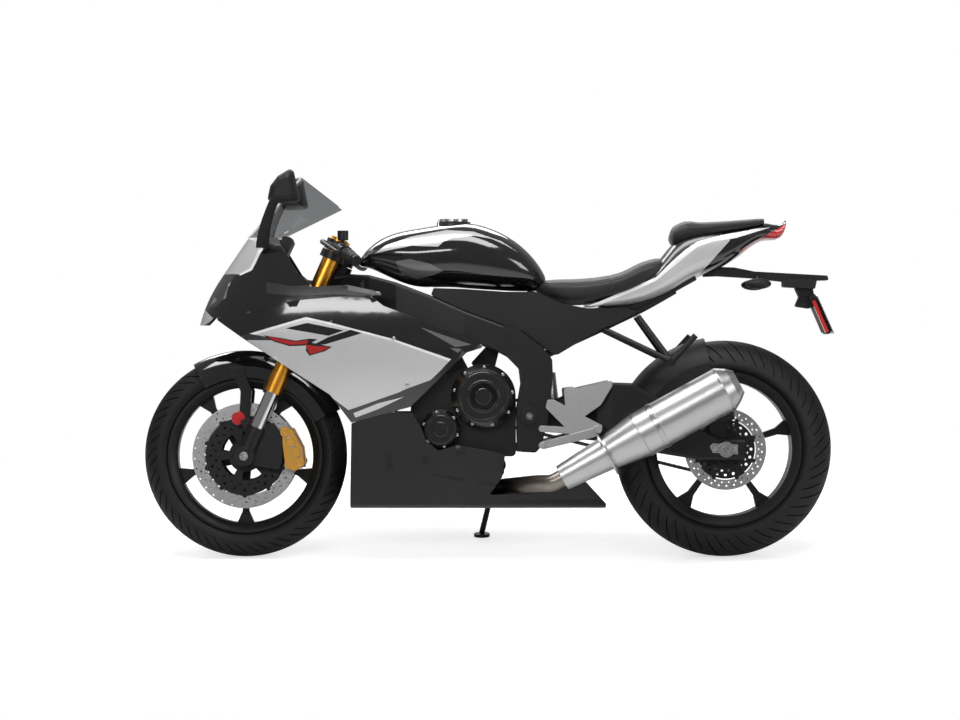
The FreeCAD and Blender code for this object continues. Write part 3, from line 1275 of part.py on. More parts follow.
hanger = cut("footrest_clear", footrest(), doc.getObject("frame_left"))
pedal = cut("foot_lever_left", foot_lever(), bar("foot_lever_bore", Vector(-330, 100, 382), Vector(-330, 300, 382), 11.3))
node(group("footrests", hanger, mirrored("footrest_right", hanger), pedal, mirrored("foot_lever_right", pedal)))


def passenger_rest():
    """The left passenger's footrest: two stays from the seat rail to a folded peg."""
    front = bar("rest_stay_front", Vector(-352, 108, 674), Vector(-548, 150, 580), 8)
    rear = bar("rest_stay_rear", Vector(-452, 100, 712), Vector(-548, 150, 580), 8)
    knuckle = bar("rest_knuckle", Vector(-548, 138, 578), Vector(-548, 172, 578), 13)
    peg = bar("rest_peg", Vector(-552, 164, 584), Vector(-618, 168, 656), 9)
    return fuse("passenger_rest_left", front, rear, knuckle, peg)


rails = doc.getObject("subframe_tubes")
node(pair("passenger_footrests", cut("passenger_rest_clear", passenger_rest(), rails)))


def mirror():
    """The left mirror: blade-shaped stalk from the nose and its wedge-shaped head."""
    head_side = [(631, 1044), (622, 1088), (599, 1118), (557, 1143), (534, 1042), (593, 1038)]
    wires = []
    for y, scale in ((178, 0.5), (205, 0.86), (260, 1.0), (315, 0.92), (342, 0.55)):
        middle = Vector(584, 0, 1082)
        corners = [(middle.x + (x - middle.x) * scale, middle.z + (z - middle.z) * scale) for x, z in head_side]
        wire = Part.Wire([e.toShape() for e in rounded(corners, 12 * scale)])
        wire.Placement = Placement(Vector(0, y, 0), Rotation(Vector(1, 0, 0), 90))
        wires.append(wire)
    head = feature("mirror_head", Part.makeLoft(wires, True, False))
    stalk_wires = []
    for x, y, z, long, wide in ((654, 97, 914, 40, 9), (650, 124, 950, 36, 9), (628, 178, 1020, 30, 8), (610, 212, 1058, 30, 8)):
        ring = Part.Ellipse(Vector(0, 0, 0), long / 2, wide / 2).toShape()
        wire = Part.Wire([ring])
        wire.Placement = Placement(Vector(x, y, z), Rotation())
        stalk_wires.append(wire)
    stalk = feature("mirror_stalk", Part.makeLoft(stalk_wires, True, False))
    return fuse("mirror_left", head, stalk)


mirror_left = mirror()
node(pair("mirrors", cut("mirror_clear", mirror_left, doc.getObject("windscreen"), doc.getObject("nose_trimmed"))))


def instruments():
    """The dial housing behind the screen, on its stay from the steering head."""
    case = plate("dash_case", [(612, 902), (596, 950), (572, 946), (566, 930), (588, 884)], -78, 78, radius=8)
    stay = pipe("dash_stay", [(470, 0, 806), (540, 0, 812), (598, 0, 850), (600, 0, 896)], 10)
    # The bar's front upper edge meets the cowl's inner face first.
    reach = side * (half_width(605, 869) - size("panel_thickness") + 0.7)
    wing = bar("dash_wing", Vector(598, 0, 862) - reach, Vector(598, 0, 862) + reach, 7)
    return fuse("dash_solid", case, stay, wing)


dash = cut("instruments", instruments(), doc.getObject("head_tube"), doc.getObject("nose_trimmed"))
node(dash)

# ---------------------------------------------------------------- side stand

stand_pivot = Vector(-40, -150, 262)
ground_at_foot = size("stand_reach") * math.tan(lean)
stand_foot = Vector(8, -size("stand_reach"), ground_at_foot)
stand_axis = Vector(0, 0.845, -0.534)
stand_axis.normalize()
ground_up = Vector(0, math.sin(lean), math.cos(lean))


def side_stand():
    """The stand's leg with its pivot eye and its foot, flat on the ground."""
    eye = bar("stand_eye", stand_pivot - stand_axis * 9, stand_pivot + stand_axis * 9, 17)
    leg = bar("stand_leg", stand_pivot, stand_foot + ground_up * 12, 8.5)
    foot = bar("stand_pad", stand_foot, stand_foot + ground_up * 9, "$stand_foot_radius")
    return cut("side_stand", fuse("stand_solid", eye, leg, foot),
               bar("stand_eye_bore", stand_pivot - stand_axis * 40, stand_pivot + stand_axis * 40, 8.3))


node(side_stand())


def stand_bracket():
    """The bracket that holds the stand's pivot bolt, reaching out from a flange on the sump."""
    pin = bar("stand_pin", stand_pivot - stand_axis * 14, stand_pivot + stand_axis * 12, 8)
    ear = bar("stand_ear", stand_pivot + stand_axis * 9.5, stand_pivot + stand_axis * 26, 19)
    cap = bar("stand_pin_head", stand_pivot - stand_axis * 14, stand_pivot - stand_axis * 9.5, 12)
    flange_middle = Vector(-40, -SUMP_Y, 270)
    flange = bar("stand_flange", flange_middle - side * 12, flange_middle - side * size("seat_gap"), 24)
    reach = bar("stand_reach_bar", stand_pivot + stand_axis * 21, flange_middle - side * 6, 12)
    return fuse("stand_bracket", pin, ear, cap, flange, reach)


node(stand_bracket())

# ---------------------------------------------------------------- lean, origin and files

doc.recompute()
for thing in doc.Objects:
    if any(word in ("Invalid", "Error") for word in thing.State):
        raise RuntimeError(f"{thing.Label} did not build: {thing.State}")

leaned = Placement(Vector(), Rotation(Vector(1, 0, 0), size("lean_angle")))
shapes = {}
for thing in NODES:
    shape = thing.Shape.copy()
    if shape.isNull() or not shape.isValid():
        raise RuntimeError(f"{thing.Label} has no valid shape")
    shape.Placement = leaned.multiply(shape.Placement)
    shapes[thing.Label] = shape
bounds = FreeCAD.BoundBox()
for shape in shapes.values():
    bounds.add(shape.optimalBoundingBox(False))
stance = Placement(Vector(-bounds.Center.x, -bounds.Center.y, 0), Rotation()).multiply(leaned)

os.makedirs("parts", exist_ok=True)
for label, shape in shapes.items():
    shape.translate(Vector(-bounds.Center.x, -bounds.Center.y, 0))
    Part.Compound(shape.Solids).exportStep(f"parts/{label}.step")

points = {
    "front_wheel": (front_axle, side), "rear_wheel": (rear_axle, side), "steering": (stem_point(500), up_the_fork),
    "stem_bore": (stem_point(STEM_TOP), up_the_fork), "fuel_cap": (cap_hinge, side),
    "side_stand": (stand_pivot, stand_axis), "plate": (plate_centre, plate_normal),
    "pivot_left": (pivot + side * (PLATE_Y[1] + 7), side), "pivot_right": (pivot - side * (PLATE_Y[1] + 7), side * -1)}
for label, (point, way) in points.items():
    place, axis = stance.multVec(point), stance.Rotation.multVec(way)
    print("POINT", json.dumps([label, [round(v, 4) for v in place], [round(v, 7) for v in axis]]))
print("BOUNDS", bounds.XLength, bounds.YLength, bounds.ZMin, bounds.ZMax, "NODES", len(NODES))
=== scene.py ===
"""A faired sport motorcycle on its side stand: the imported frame, its finishes and its fine pieces."""

import json
import math

import bmesh
import bpy
from mathutils.bvhtree import BVHTree
from mathutils import Matrix, Vector


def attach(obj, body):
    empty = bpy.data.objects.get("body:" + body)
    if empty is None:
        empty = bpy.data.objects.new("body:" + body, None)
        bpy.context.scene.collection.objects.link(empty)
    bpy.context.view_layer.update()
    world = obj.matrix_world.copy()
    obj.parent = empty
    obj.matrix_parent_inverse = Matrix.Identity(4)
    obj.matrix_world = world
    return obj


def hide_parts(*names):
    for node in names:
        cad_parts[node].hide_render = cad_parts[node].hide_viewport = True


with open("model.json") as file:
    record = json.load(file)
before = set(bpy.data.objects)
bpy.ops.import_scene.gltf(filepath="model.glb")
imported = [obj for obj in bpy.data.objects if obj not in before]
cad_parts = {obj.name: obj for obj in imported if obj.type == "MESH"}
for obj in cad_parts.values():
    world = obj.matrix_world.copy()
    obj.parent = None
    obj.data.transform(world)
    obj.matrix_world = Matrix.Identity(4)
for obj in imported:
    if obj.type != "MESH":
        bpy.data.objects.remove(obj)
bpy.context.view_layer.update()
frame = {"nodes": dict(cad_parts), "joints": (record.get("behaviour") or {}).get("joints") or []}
nodes = frame["nodes"]

# ---- The upright bike's own directions
# The parked bike leans towards its stand, so pieces are placed in the directions of the upright bike:
# millimetres ahead of the engine's middle, to the rider's left and above the line where its tyres touch.

joints = {joint["name"]: joint for joint in frame["joints"]}
front_hub = Vector(joints["front_wheel_spin"]["pos_m"])
LEFT = Vector(joints["front_wheel_spin"]["axis"]).normalized()
AHEAD = Vector((1, 0, 0))
UP = AHEAD.cross(LEFT)
FRONT_HUB_PLACE = Vector((708, 0, 300.87))
upright = Matrix((AHEAD, LEFT, UP)).transposed()
ground_middle = front_hub - upright @ (FRONT_HUB_PLACE / 1000)


def bike(x, y, z):
    """A point of the upright bike, in millimetres, as a point of the parked one."""
    return ground_middle + upright @ (Vector((x, y, z)) / 1000)

# ---- Studio
# A white floor that fades into a white surround, lit by large soft panels, with the camera square to the
# bike's side as it leans.

VIEW_WIDTH = 2.851             # metres of the bike's plane across the view
CAMERA_DISTANCE = 12.0
VIEW_CENTRE = (13.7, 0, 583.6)

camera_data = bpy.data.cameras.new("camera")
camera_data.sensor_width = 36
camera_data.lens = camera_data.sensor_width * CAMERA_DISTANCE / VIEW_WIDTH
camera = bpy.data.objects.new("camera", camera_data)
bpy.context.scene.collection.objects.link(camera)
camera.location = bike(*VIEW_CENTRE) + LEFT * CAMERA_DISTANCE
camera.rotation_euler = Matrix((-AHEAD, UP, LEFT)).transposed().to_euler()
bpy.context.scene.camera = camera
bpy.context.scene.view_settings.view_transform = "Standard"


def shader(name):
    """A new material's node tree and its Principled shader."""
    material = bpy.data.materials.new(name)
    material.use_nodes = True
    tree = material.node_tree
    return material, tree, tree.nodes["Principled BSDF"]


FLOOR_REACH = 30
floor_mesh = bpy.data.meshes.new("floor")
floor_mesh.from_pydata([(x, y, 0) for x, y in ((-1, -1), (1, -1), (1, 1), (-1, 1))], [], [(0, 1, 2, 3)])
floor_mesh.transform(Matrix.Scale(FLOOR_REACH, 4))
floor = bpy.data.objects.new("floor", floor_mesh)
bpy.context.scene.collection.objects.link(floor)
floor_paint, tree, surface = shader("studio_floor")
surface.inputs["Base Color"].default_value = (0.8, 0.8, 0.8, 1)
surface.inputs["Roughness"].default_value = 0.9
surface.inputs["Specular IOR Level"].default_value = 0.0
surface.inputs["Emission Color"].default_value = (1, 1, 1, 1)
rays = tree.nodes.new("ShaderNodeLightPath")
floor_glow = tree.nodes.new("ShaderNodeMath")
floor_glow.operation = "MULTIPLY"
floor_glow.inputs[1].default_value = 0.62
tree.links.new(rays.outputs["Is Camera Ray"], floor_glow.inputs[0])
tree.links.new(floor_glow.outputs[0], surface.inputs["Emission Strength"])
white_out, far_mix = tree.nodes.new("ShaderNodeEmission"), tree.nodes.new("ShaderNodeMixShader")
floor_place, floor_reach = tree.nodes.new("ShaderNodeTexCoord"), tree.nodes.new("ShaderNodeVectorMath")
floor_reach.operation = "LENGTH"
fade = tree.nodes.new("ShaderNodeMapRange")
fade.inputs["From Min"].default_value, fade.inputs["From Max"].default_value = 1.15, 2.1
tree.links.new(floor_place.outputs["Object"], floor_reach.inputs[0])
tree.links.new(floor_reach.outputs["Value"], fade.inputs["Value"])
only_seen = tree.nodes.new("ShaderNodeMath")
only_seen.operation = "MULTIPLY"
tree.links.new(fade.outputs["Result"], only_seen.inputs[0])
tree.links.new(rays.outputs["Is Camera Ray"], only_seen.inputs[1])
tree.links.new(only_seen.outputs[0], far_mix.inputs[0])
tree.links.new(surface.outputs[0], far_mix.inputs[1])
tree.links.new(white_out.outputs[0], far_mix.inputs[2])
tree.links.new(far_mix.outputs[0], tree.nodes["Material Output"].inputs["Surface"])
floor_mesh.materials.append(floor_paint)

world = bpy.data.worlds.new("surround")
bpy.context.scene.world = world
world.use_nodes = True
tree = world.node_tree
tree.nodes.clear()
paths = tree.nodes.new("ShaderNodeLightPath")
either = tree.nodes.new("ShaderNodeMath")
either.operation = "MAXIMUM"
tree.links.new(paths.outputs["Is Camera Ray"], either.inputs[0])
tree.links.new(paths.outputs["Is Transmission Ray"], either.inputs[1])
lit, seen = tree.nodes.new("ShaderNodeBackground"), tree.nodes.new("ShaderNodeBackground")
lit.inputs["Color"].default_value = (1, 1, 1, 1)
lit.inputs["Strength"].default_value = 0.2
seen.inputs["Color"].default_value = (1, 1, 1, 1)
mixed = tree.nodes.new("ShaderNodeMixShader")
out = tree.nodes.new("ShaderNodeOutputWorld")
tree.links.new(either.outputs[0], mixed.inputs[0])
tree.links.new(lit.outputs[0], mixed.inputs[1])
tree.links.new(seen.outputs[0], mixed.inputs[2])
tree.links.new(mixed.outputs[0], out.inputs["Surface"])


def soft_panel(name, place, target, width, height, watts):
    """A rectangular studio light aimed at a point."""
    data = bpy.data.lights.new(name, "AREA")
    data.shape = "RECTANGLE"
    data.size, data.size_y, data.energy = width, height, watts
    light = bpy.data.objects.new(name, data)
    bpy.context.scene.collection.objects.link(light)
    light.location = place
    light.rotation_euler = (Vector(target) - Vector(place)).to_track_quat("-Z", "Y").to_euler()


soft_panel("overhead_panel", (0.2, 0.5, 3.4), (0, 0, 0.5), 4.2, 1.1, 110)
soft_panel("side_panel", (1.6, 4.2, 2.6), (0, 0, 0.5), 3.0, 0.7, 58)
soft_panel("tail_panel", (-3.6, 2.6, 1.8), (0, 0, 0.5), 1.4, 1.8, 40)
soft_panel("far_panel", (0.5, -4.0, 2.6), (0, 0, 0.6), 3.4, 1.4, 60)

# ---- Frame
# Two deep pressed beams, a bolted tail frame and the stand with its bracket, all in black enamel over a fine
# grain. Paint, plastic, cast metal and rubber each drift a little in tone and gloss.


def group_of(name, inputs, outputs):
    """A shader node group with sockets given as (name, socket type, default)."""
    group = bpy.data.node_groups.new(name, "ShaderNodeTree")
    for label, kind, default in inputs:
        socket = group.interface.new_socket(label, in_out="INPUT", socket_type=kind)
        socket.default_value = default
    for label, kind in outputs:
        group.interface.new_socket(label, in_out="OUTPUT", socket_type=kind)
    return group, group.nodes.new("NodeGroupInput"), group.nodes.new("NodeGroupOutput")


FLOAT, COLOUR = "NodeSocketFloat", "NodeSocketColor"
grain, grain_in, grain_out = group_of("surface_grain", [
    ("Dark", COLOUR, (0, 0, 0, 1)), ("Light", COLOUR, (1, 1, 1, 1)),
    ("Smooth", FLOAT, 0.3), ("Rough", FLOAT, 0.5),
    ("Drift Scale", FLOAT, 6.0), ("Grain Scale", FLOAT, 900.0), ("Stretch", FLOAT, 1.0),
], [("Color", COLOUR), ("Roughness", FLOAT), ("Height", FLOAT)])
place = grain.nodes.new("ShaderNodeTexCoord")
drawn_out = grain.nodes.new("ShaderNodeVectorMath")
drawn_out.operation = "MULTIPLY"
stretch = grain.nodes.new("ShaderNodeCombineXYZ")
stretch.inputs["X"].default_value = stretch.inputs["Y"].default_value = 1.0
drift, fine = grain.nodes.new("ShaderNodeTexNoise"), grain.nodes.new("ShaderNodeTexNoise")
drift.inputs["Detail"].default_value = 3
fine.inputs["Detail"].default_value = 2
tone, gloss = grain.nodes.new("ShaderNodeMix"), grain.nodes.new("ShaderNodeMapRange")
tone.data_type = "RGBA"
links = grain.links
links.new(grain_in.outputs["Stretch"], stretch.inputs["Z"])
links.new(place.outputs["Object"], drawn_out.inputs[0])
links.new(stretch.outputs[0], drawn_out.inputs[1])
links.new(place.outputs["Object"], drift.inputs["Vector"])
links.new(drawn_out.outputs[0], fine.inputs["Vector"])
links.new(grain_in.outputs["Drift Scale"], drift.inputs["Scale"])
links.new(grain_in.outputs["Grain Scale"], fine.inputs["Scale"])
links.new(drift.outputs["Fac"], tone.inputs["Factor"])
links.new(grain_in.outputs["Dark"], tone.inputs["A"])
links.new(grain_in.outputs["Light"], tone.inputs["B"])
links.new(fine.outputs["Fac"], gloss.inputs["Value"])
gloss.inputs["From Min"].default_value, gloss.inputs["From Max"].default_value = 0.3, 0.7
links.new(grain_in.outputs["Smooth"], gloss.inputs["To Min"])
links.new(grain_in.outputs["Rough"], gloss.inputs["To Max"])
links.new(tone.outputs["Result"], grain_out.inputs["Color"])
links.new(gloss.outputs["Result"], grain_out.inputs["Roughness"])
links.new(fine.outputs["Fac"], grain_out.inputs["Height"])


def grained(name, dark, light, smooth, rough, grain_scale=900, depth=0.0, stretch=1.0, metal=0.0, coat=0.0):
    """A material whose tone, gloss and bumps all drift over the surface."""
    material, tree, surface = shader(name)
    node = tree.nodes.new("ShaderNodeGroup")
    node.node_tree = grain
    node.inputs["Dark"].default_value = (*dark, 1)
    node.inputs["Light"].default_value = (*light, 1)
    node.inputs["Smooth"].default_value = smooth
    node.inputs["Rough"].default_value = rough
    node.inputs["Grain Scale"].default_value = grain_scale
    node.inputs["Stretch"].default_value = stretch
    tree.links.new(node.outputs["Color"], surface.inputs["Base Color"])
    tree.links.new(node.outputs["Roughness"], surface.inputs["Roughness"])
    surface.inputs["Metallic"].default_value = metal
    surface.inputs["Coat Weight"].default_value = coat
    surface.inputs["Coat Roughness"].default_value = 0.06
    surface.inputs["Specular IOR Level"].default_value = 0.5 if coat or metal else 0.3
    edge = tree.nodes.new("ShaderNodeBevel")
    edge.samples = 4
    edge.inputs["Radius"].default_value = 0.0016
    tree.links.new(edge.outputs["Normal"], surface.inputs["Normal"])
    if depth:
        bump = tree.nodes.new("ShaderNodeBump")
        tree.links.new(edge.outputs["Normal"], bump.inputs["Normal"])
        bump.inputs["Strength"].default_value = 1.0
        bump.inputs["Distance"].default_value = depth
        tree.links.new(node.outputs["Height"], bump.inputs["Height"])
        tree.links.new(bump.outputs["Normal"], surface.inputs["Normal"])
    return material


def grey(value):
    """A neutral tone with the faint blue of black bike plastics."""
    return (value, value, value * 1.04)


frame_black = grained("frame_enamel", grey(0.008), grey(0.013), 0.28, 0.4, grain_scale=1200, depth=0.00003)


def dress(material, *names):
    """Gives CAD nodes their finish."""
    for name in names:
        mesh = nodes[name].data
        mesh.materials.clear()
        mesh.materials.append(material)


dress(frame_black, "main_frame", "subframe", "side_stand", "stand_bracket")

# ---- Engine
# Painted castings under polished covers, with turned rings on the covers' faces, screw heads round them
# and a bright nut on each end of the swingarm pivot.

engine_paint = grained("engine_paint", grey(0.007), grey(0.013), 0.3, 0.42, grain_scale=1000, depth=0.0001)
polished_black = grained("polished_black_cover", grey(0.007), grey(0.01), 0.12, 0.2, coat=0.6)
steel = grained("machined_steel", (0.42, 0.42, 0.43), (0.56, 0.56, 0.57), 0.2, 0.34, grain_scale=700,
                metal=1.0)
dress(engine_paint, "engine_block")
dress(polished_black, "engine_covers")

TO_ROW = Matrix.Translation(ground_middle) @ upright.to_4x4() @ Matrix.Scale(0.001, 4)
SHARP = math.radians(32)
SIDEWAYS = (0, 1, 0)


def piece(name, made, body, finishes, replaced=()):
    """A finished piece from a bmesh in the upright bike's millimetres, riding on a body."""
    mesh = bpy.data.meshes.new(name)
    bmesh.ops.recalc_face_normals(made, faces=made.faces)
    made.transform(TO_ROW)
    made.to_mesh(mesh)
    made.free()
    mesh.shade_smooth()
    mesh.set_sharp_from_angle(angle=SHARP)
    for material in finishes if isinstance(finishes, (list, tuple)) else [finishes]:
        mesh.materials.append(material)
    thing = bpy.data.objects.new(name, mesh)
    bpy.context.scene.collection.objects.link(thing)
    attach(thing, body)
    if replaced:
        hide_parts(*replaced)
    return thing


def skin(made, rings, closed=True, caps=False):
    """Faces through rings of points; a closed ring joins its last point to its first."""
    rows = [[made.verts.new(point) for point in ring] for ring in rings]
    count = len(rows[0])
    for one, two in zip(rows, rows[1:]):
        for k in range(count if closed else count - 1):
            made.faces.new((one[k], one[(k + 1) % count], two[(k + 1) % count], two[k]))
    if caps:
        made.faces.new(rows[0][::-1])
        made.faces.new(rows[-1])


def lathe(made, profile, centre, axis, count=48):
    """A turned form: the profile's (along, radius) pairs spun about an axis through the centre."""
    centre, axis = Vector(centre), Vector(axis).normalized()
    across = axis.orthogonal().normalized()
    over = axis.cross(across)
    turns = [2 * math.pi * k / count for k in range(count)]
    rings = []
    for along, radius in profile:
        rings.append([centre + axis * along + (across * math.cos(t) + over * math.sin(t)) * max(radius, 0.01)
                      for t in turns])
    skin(made, rings, caps=True)


def bolt(made, place, radius=5):
    """A button-head screw with a socket, its head standing on the left face of a piece."""
    head = radius * 0.55
    profile = [(-0.5, radius), (head * 0.5, radius), (head, radius * 0.72), (head, radius * 0.42),
               (head * 0.3, radius * 0.4)]
    lathe(made, profile, place, SIDEWAYS, 18)


def mirror(made):
    """Adds the other side's copy of everything made so far."""
    copied = bmesh.ops.duplicate(made, geom=made.faces[:])["geom"]
    verts = [item for item in copied if isinstance(item, bmesh.types.BMVert)]
    for vert in verts:
        vert.co.y = -vert.co.y
    bmesh.ops.reverse_faces(made, faces=[item for item in copied if isinstance(item, bmesh.types.BMFace)])


def panel_copy(name):
    """A CAD node's own skin, to be cut and painted."""
    made = bmesh.new()
    made.from_mesh(nodes[name].data)
    for face in made.faces:
        face.material_index = 0
    made.transform(TO_ROW.inverted())
    bmesh.ops.remove_doubles(made, verts=made.verts, dist=0.002)
    return made


BEYOND = 600
skins = {}


def surface_y(name, x, z):
    """How far out a node's left face is at a point in side view."""
    if name not in skins:
        made = panel_copy(name)
        skins[name] = BVHTree.FromBMesh(made)
        made.free()
    place = skins[name].ray_cast(Vector((x, BEYOND, z)), Vector((0, -1, 0)))[0]
    return place.y if place else 0.0


ENGINE_SIDE = 118
CLUTCH, STARTER = (4, 477), (129, 380)
made = bmesh.new()
for (centre_x, centre_z), radius, count in ((CLUTCH, 86, 9), (STARTER, 51, 6)):
    for k in range(count):
        turn = 2 * math.pi * (k + 0.3) / count
        x, z = centre_x + radius * math.cos(turn), centre_z + radius * math.sin(turn)
        y = surface_y("engine_covers", x, z)
        if y > ENGINE_SIDE:
            bolt(made, (x, y, z), 5)
piece("cover_screws", made, "chassis", steel)
made = bmesh.new()
for (centre_x, centre_z), radii in ((CLUTCH, ((72, 66), (48, 40), (24, 0))), (STARTER, ((42, 37), (22, 0)))):
    y = surface_y("engine_covers", centre_x, centre_z)
    for outer, inner in radii:
        ring = [(-1, inner), (-1, outer), (1.4, outer), (2.6, outer - 1.4), (2.6, inner + 1.2), (1.4, inner)]
        boss = [(-1, outer), (3.6, outer), (5, outer - 1.6)]
        lathe(made, ring if inner else boss, (centre_x, y, centre_z), SIDEWAYS)
piece("cover_rings", made, "chassis", polished_black)
made = bmesh.new()
PIVOT_X, PIVOT_Z = -131, 420
PIVOT_NUT = [(-1, 24), (1.5, 24), (3, 22.5), (3, 17), (0.5, 15.5), (0.5, 9), (4, 8.5), (5, 7.4), (5, 4.4),
             (1.5, 4.2)]
pivot_y = surface_y("main_frame", PIVOT_X, PIVOT_Z)
lathe(made, PIVOT_NUT, (PIVOT_X, max(pivot_y, 160), PIVOT_Z), SIDEWAYS, 36)
mirror(made)
piece("swingarm_pivot_nuts", made, "chassis", steel)

# ---- Swingarm
# A welded box arm in satin black enamel. A bright adjuster block is bolted on at the axle on each side, to
# set the chain.

satin_black = grained("satin_black_paint", grey(0.006), grey(0.01), 0.34, 0.44, grain_scale=1400,
                      depth=0.00004)
dress(satin_black, "swingarm")


def slab(made, outline, y_low, y_high, soften):
    """A plate with softened edges: outline in side view, between two distances from the middle."""
    middle = sum((Vector((x, 0, z)) for x, z in outline), Vector()) / len(outline)
    rings = []
    for y, inset in ((y_low, soften), (y_low + soften, 0), (y_high - soften, 0), (y_high, soften)):
        ring = []
        for x, z in outline:
            point = Vector((x, 0, z))
            inwards = (middle - point).normalized()
            ring.append(point + inwards * inset + Vector((0, y, 0)))
        rings.append(ring)
    skin(made, rings, caps=True)


ADJUSTER_IN, ADJUSTER_OUT = 158.6, 161.6
made = bmesh.new()
slab(made, [(-742, 307), (-668, 312), (-660, 330), (-668, 340), (-742, 336)], ADJUSTER_IN, ADJUSTER_OUT, 0.8)
for x in (-676, -734):
    bolt(made, (x, ADJUSTER_OUT, 324), 4.5)
mirror(made)
piece("chain_adjusters", made, "chassis", steel)

# ---- Wheels
# Cast spoked rims in satin black, bored for their machined axles, which clamp in the fork feet and the arm.
# They stay as the frame has them.

dress(satin_black, "front_rim", "rear_rim")
dress(steel, "front_axle", "rear_axle")

# ---- Tyres
# Road radials: a round crown with swept grooves cut from near the middle to the shoulder, alternately long
# and short, and fine moulded rings on the sidewalls.

tyre_rubber = grained("tyre_rubber", grey(0.005), grey(0.009), 0.52, 0.66, grain_scale=1100, depth=0.00012)
PERIODS = 26
GROOVE_DEPTH = 4.5
FRONT_PLACE = Vector((708, 0, 300.87))
REAR_PLACE = Vector((-708, 0, 321.37))


def tyre(name, centre, radius, width, rim_width, node_name, body):
    """One tyre; its columns follow the grooves so that each groove is cut cleanly."""
    half = width / 2
    crown = 1.04 * half
    hub_line = radius - crown
    limit = math.asin(half / crown)
    rows = []
    for k in range(41):
        a = limit * (k / 20 - 1)
        rows.append((crown * math.sin(a), hub_line + crown * math.cos(a), a / limit))
    shoulder = rows[-1][1]
    bead_y, bead_r = rim_width / 2, 230
    wall = []
    for k in range(1, 13):
        t = k / 12
        y = half * (1 - t) ** 2 + (half - 1) * 2 * t * (1 - t) + bead_y * t * t
        r = shoulder * (1 - t) ** 2 + (shoulder * 0.45 + bead_r * 0.55) * 2 * t * (1 - t) + bead_r * t * t
        raised = 0.7 if k in (3, 5, 9) else 0.0
        wall.append((y + raised, r, 1.0))
    wall += [(bead_y, 222, 1.0), (bead_y - 6, 217, 1.0)]
    rows = [(-y, r, -1.0) for y, r, _ in wall[::-1]] + rows + wall
    period = 2 * math.pi / PERIODS
    mm = 1 / radius
    columns = [-3 * mm, -1.6 * mm, 1.6 * mm, 3 * mm, period * 0.2, period * 0.35]
    columns += [period / 2 + d * mm for d in (-3, -1.6, 1.6, 3)] + [period * 0.7, period * 0.85]
    deep = [1, 2, 7, 8]
    made = bmesh.new()
    rings = []
    for n in range(PERIODS):
        for number, column in enumerate(columns):
            ring = []
            for y, r, share in rows:
                reach = abs(share)
                sweep = period * 1.1 * reach ** 1.3 + period * 0.5 * min(max(share / 0.12, 0), 1)
                turn = n * period + column + sweep
                span = (0.14, 0.86) if number < 4 else (0.46, 0.94)
                cut = 0.0
                if number in deep and span[0] < reach < span[1]:
                    cut = GROOVE_DEPTH * min(1, (reach - span[0]) / 0.06, (span[1] - reach) / 0.06)
                a = reach * limit * (1 if share > 0 else -1)
                out = r - cut * math.cos(a)
                ring.append(centre + Vector((out * math.cos(turn), y - cut * math.sin(a), out * math.sin(turn))))
            rings.append(ring)
    skin(made, rings + [rings[0]], closed=False)
    bmesh.ops.remove_doubles(made, verts=made.verts, dist=0.001)
    piece(name, made, body, tyre_rubber, [node_name])


tyre("front_tyre_tread", FRONT_PLACE, 300, 120, 89, "front_tyre", "front_wheel")
tyre("rear_tyre_tread", REAR_PLACE, 320, 190, 152, "rear_tyre", "rear_wheel")

# ---- Brake discs
# Ground steel bands drilled in swept rows. Each floats on a dark carrier by round buttons, and the carrier
# is bolted to its hub.

disc_steel = grained("disc_steel", (0.42, 0.42, 0.43), (0.54, 0.54, 0.55), 0.26, 0.4, grain_scale=500,
                     metal=1.0)


def pin(made, middle, reach, radius, count=20):
    """A round pin across the bike with softened ends, a given reach to each side of its middle."""
    soften = min(0.8, radius * 0.4, reach * 0.8)
    profile = [(-reach, radius - soften), (soften - reach, radius), (reach - soften, radius),
               (reach, radius - soften)]
    lathe(made, profile, middle, SIDEWAYS, count)


def cut_plate(name, outer, holes, thickness):
    """A flat round plate with holes, as a bmesh lying in the side view's plane about the origin."""
    curve = bpy.data.curves.new(name, "CURVE")
    curve.dimensions = "2D"
    curve.fill_mode = "BOTH"
    curve.extrude = thickness / 2
    for outline in [outer, *holes]:
        spline = curve.splines.new("POLY")
        spline.points.add(len(outline) - 1)
        for point, (x, z) in zip(spline.points, outline):
            point.co = (x, z, 0, 1)
        spline.use_cyclic_u = True
    thing = bpy.data.objects.new(name, curve)
    mesh = bpy.data.meshes.new_from_object(thing)
    made = bmesh.new()
    made.from_mesh(mesh)
    made.transform(Matrix.Rotation(math.pi / 2, 4, "X"))
    bpy.data.objects.remove(thing)
    bpy.data.curves.remove(curve)
    bpy.data.meshes.remove(mesh)
    bmesh.ops.remove_doubles(made, verts=made.verts, dist=0.0001)
    return made


def ring_of(radius, count=16, x=0.0, z=0.0):
    """Points round a circle in side view."""
    return [(x + radius * math.cos(2 * math.pi * k / count),
             z + radius * math.sin(2 * math.pi * k / count)) for k in range(count)]


def wedge(low, high, turn, spread):
    """A window between two radii, its sides a given angle from its middle."""
    points = []
    for r, angles in ((low, (-1, -0.5, 0, 0.5, 1)), (high, (1, 0.5, 0, -0.5, -1))):
        points += [(r * math.cos(turn + spread * a), r * math.sin(turn + spread * a)) for a in angles]
    return points


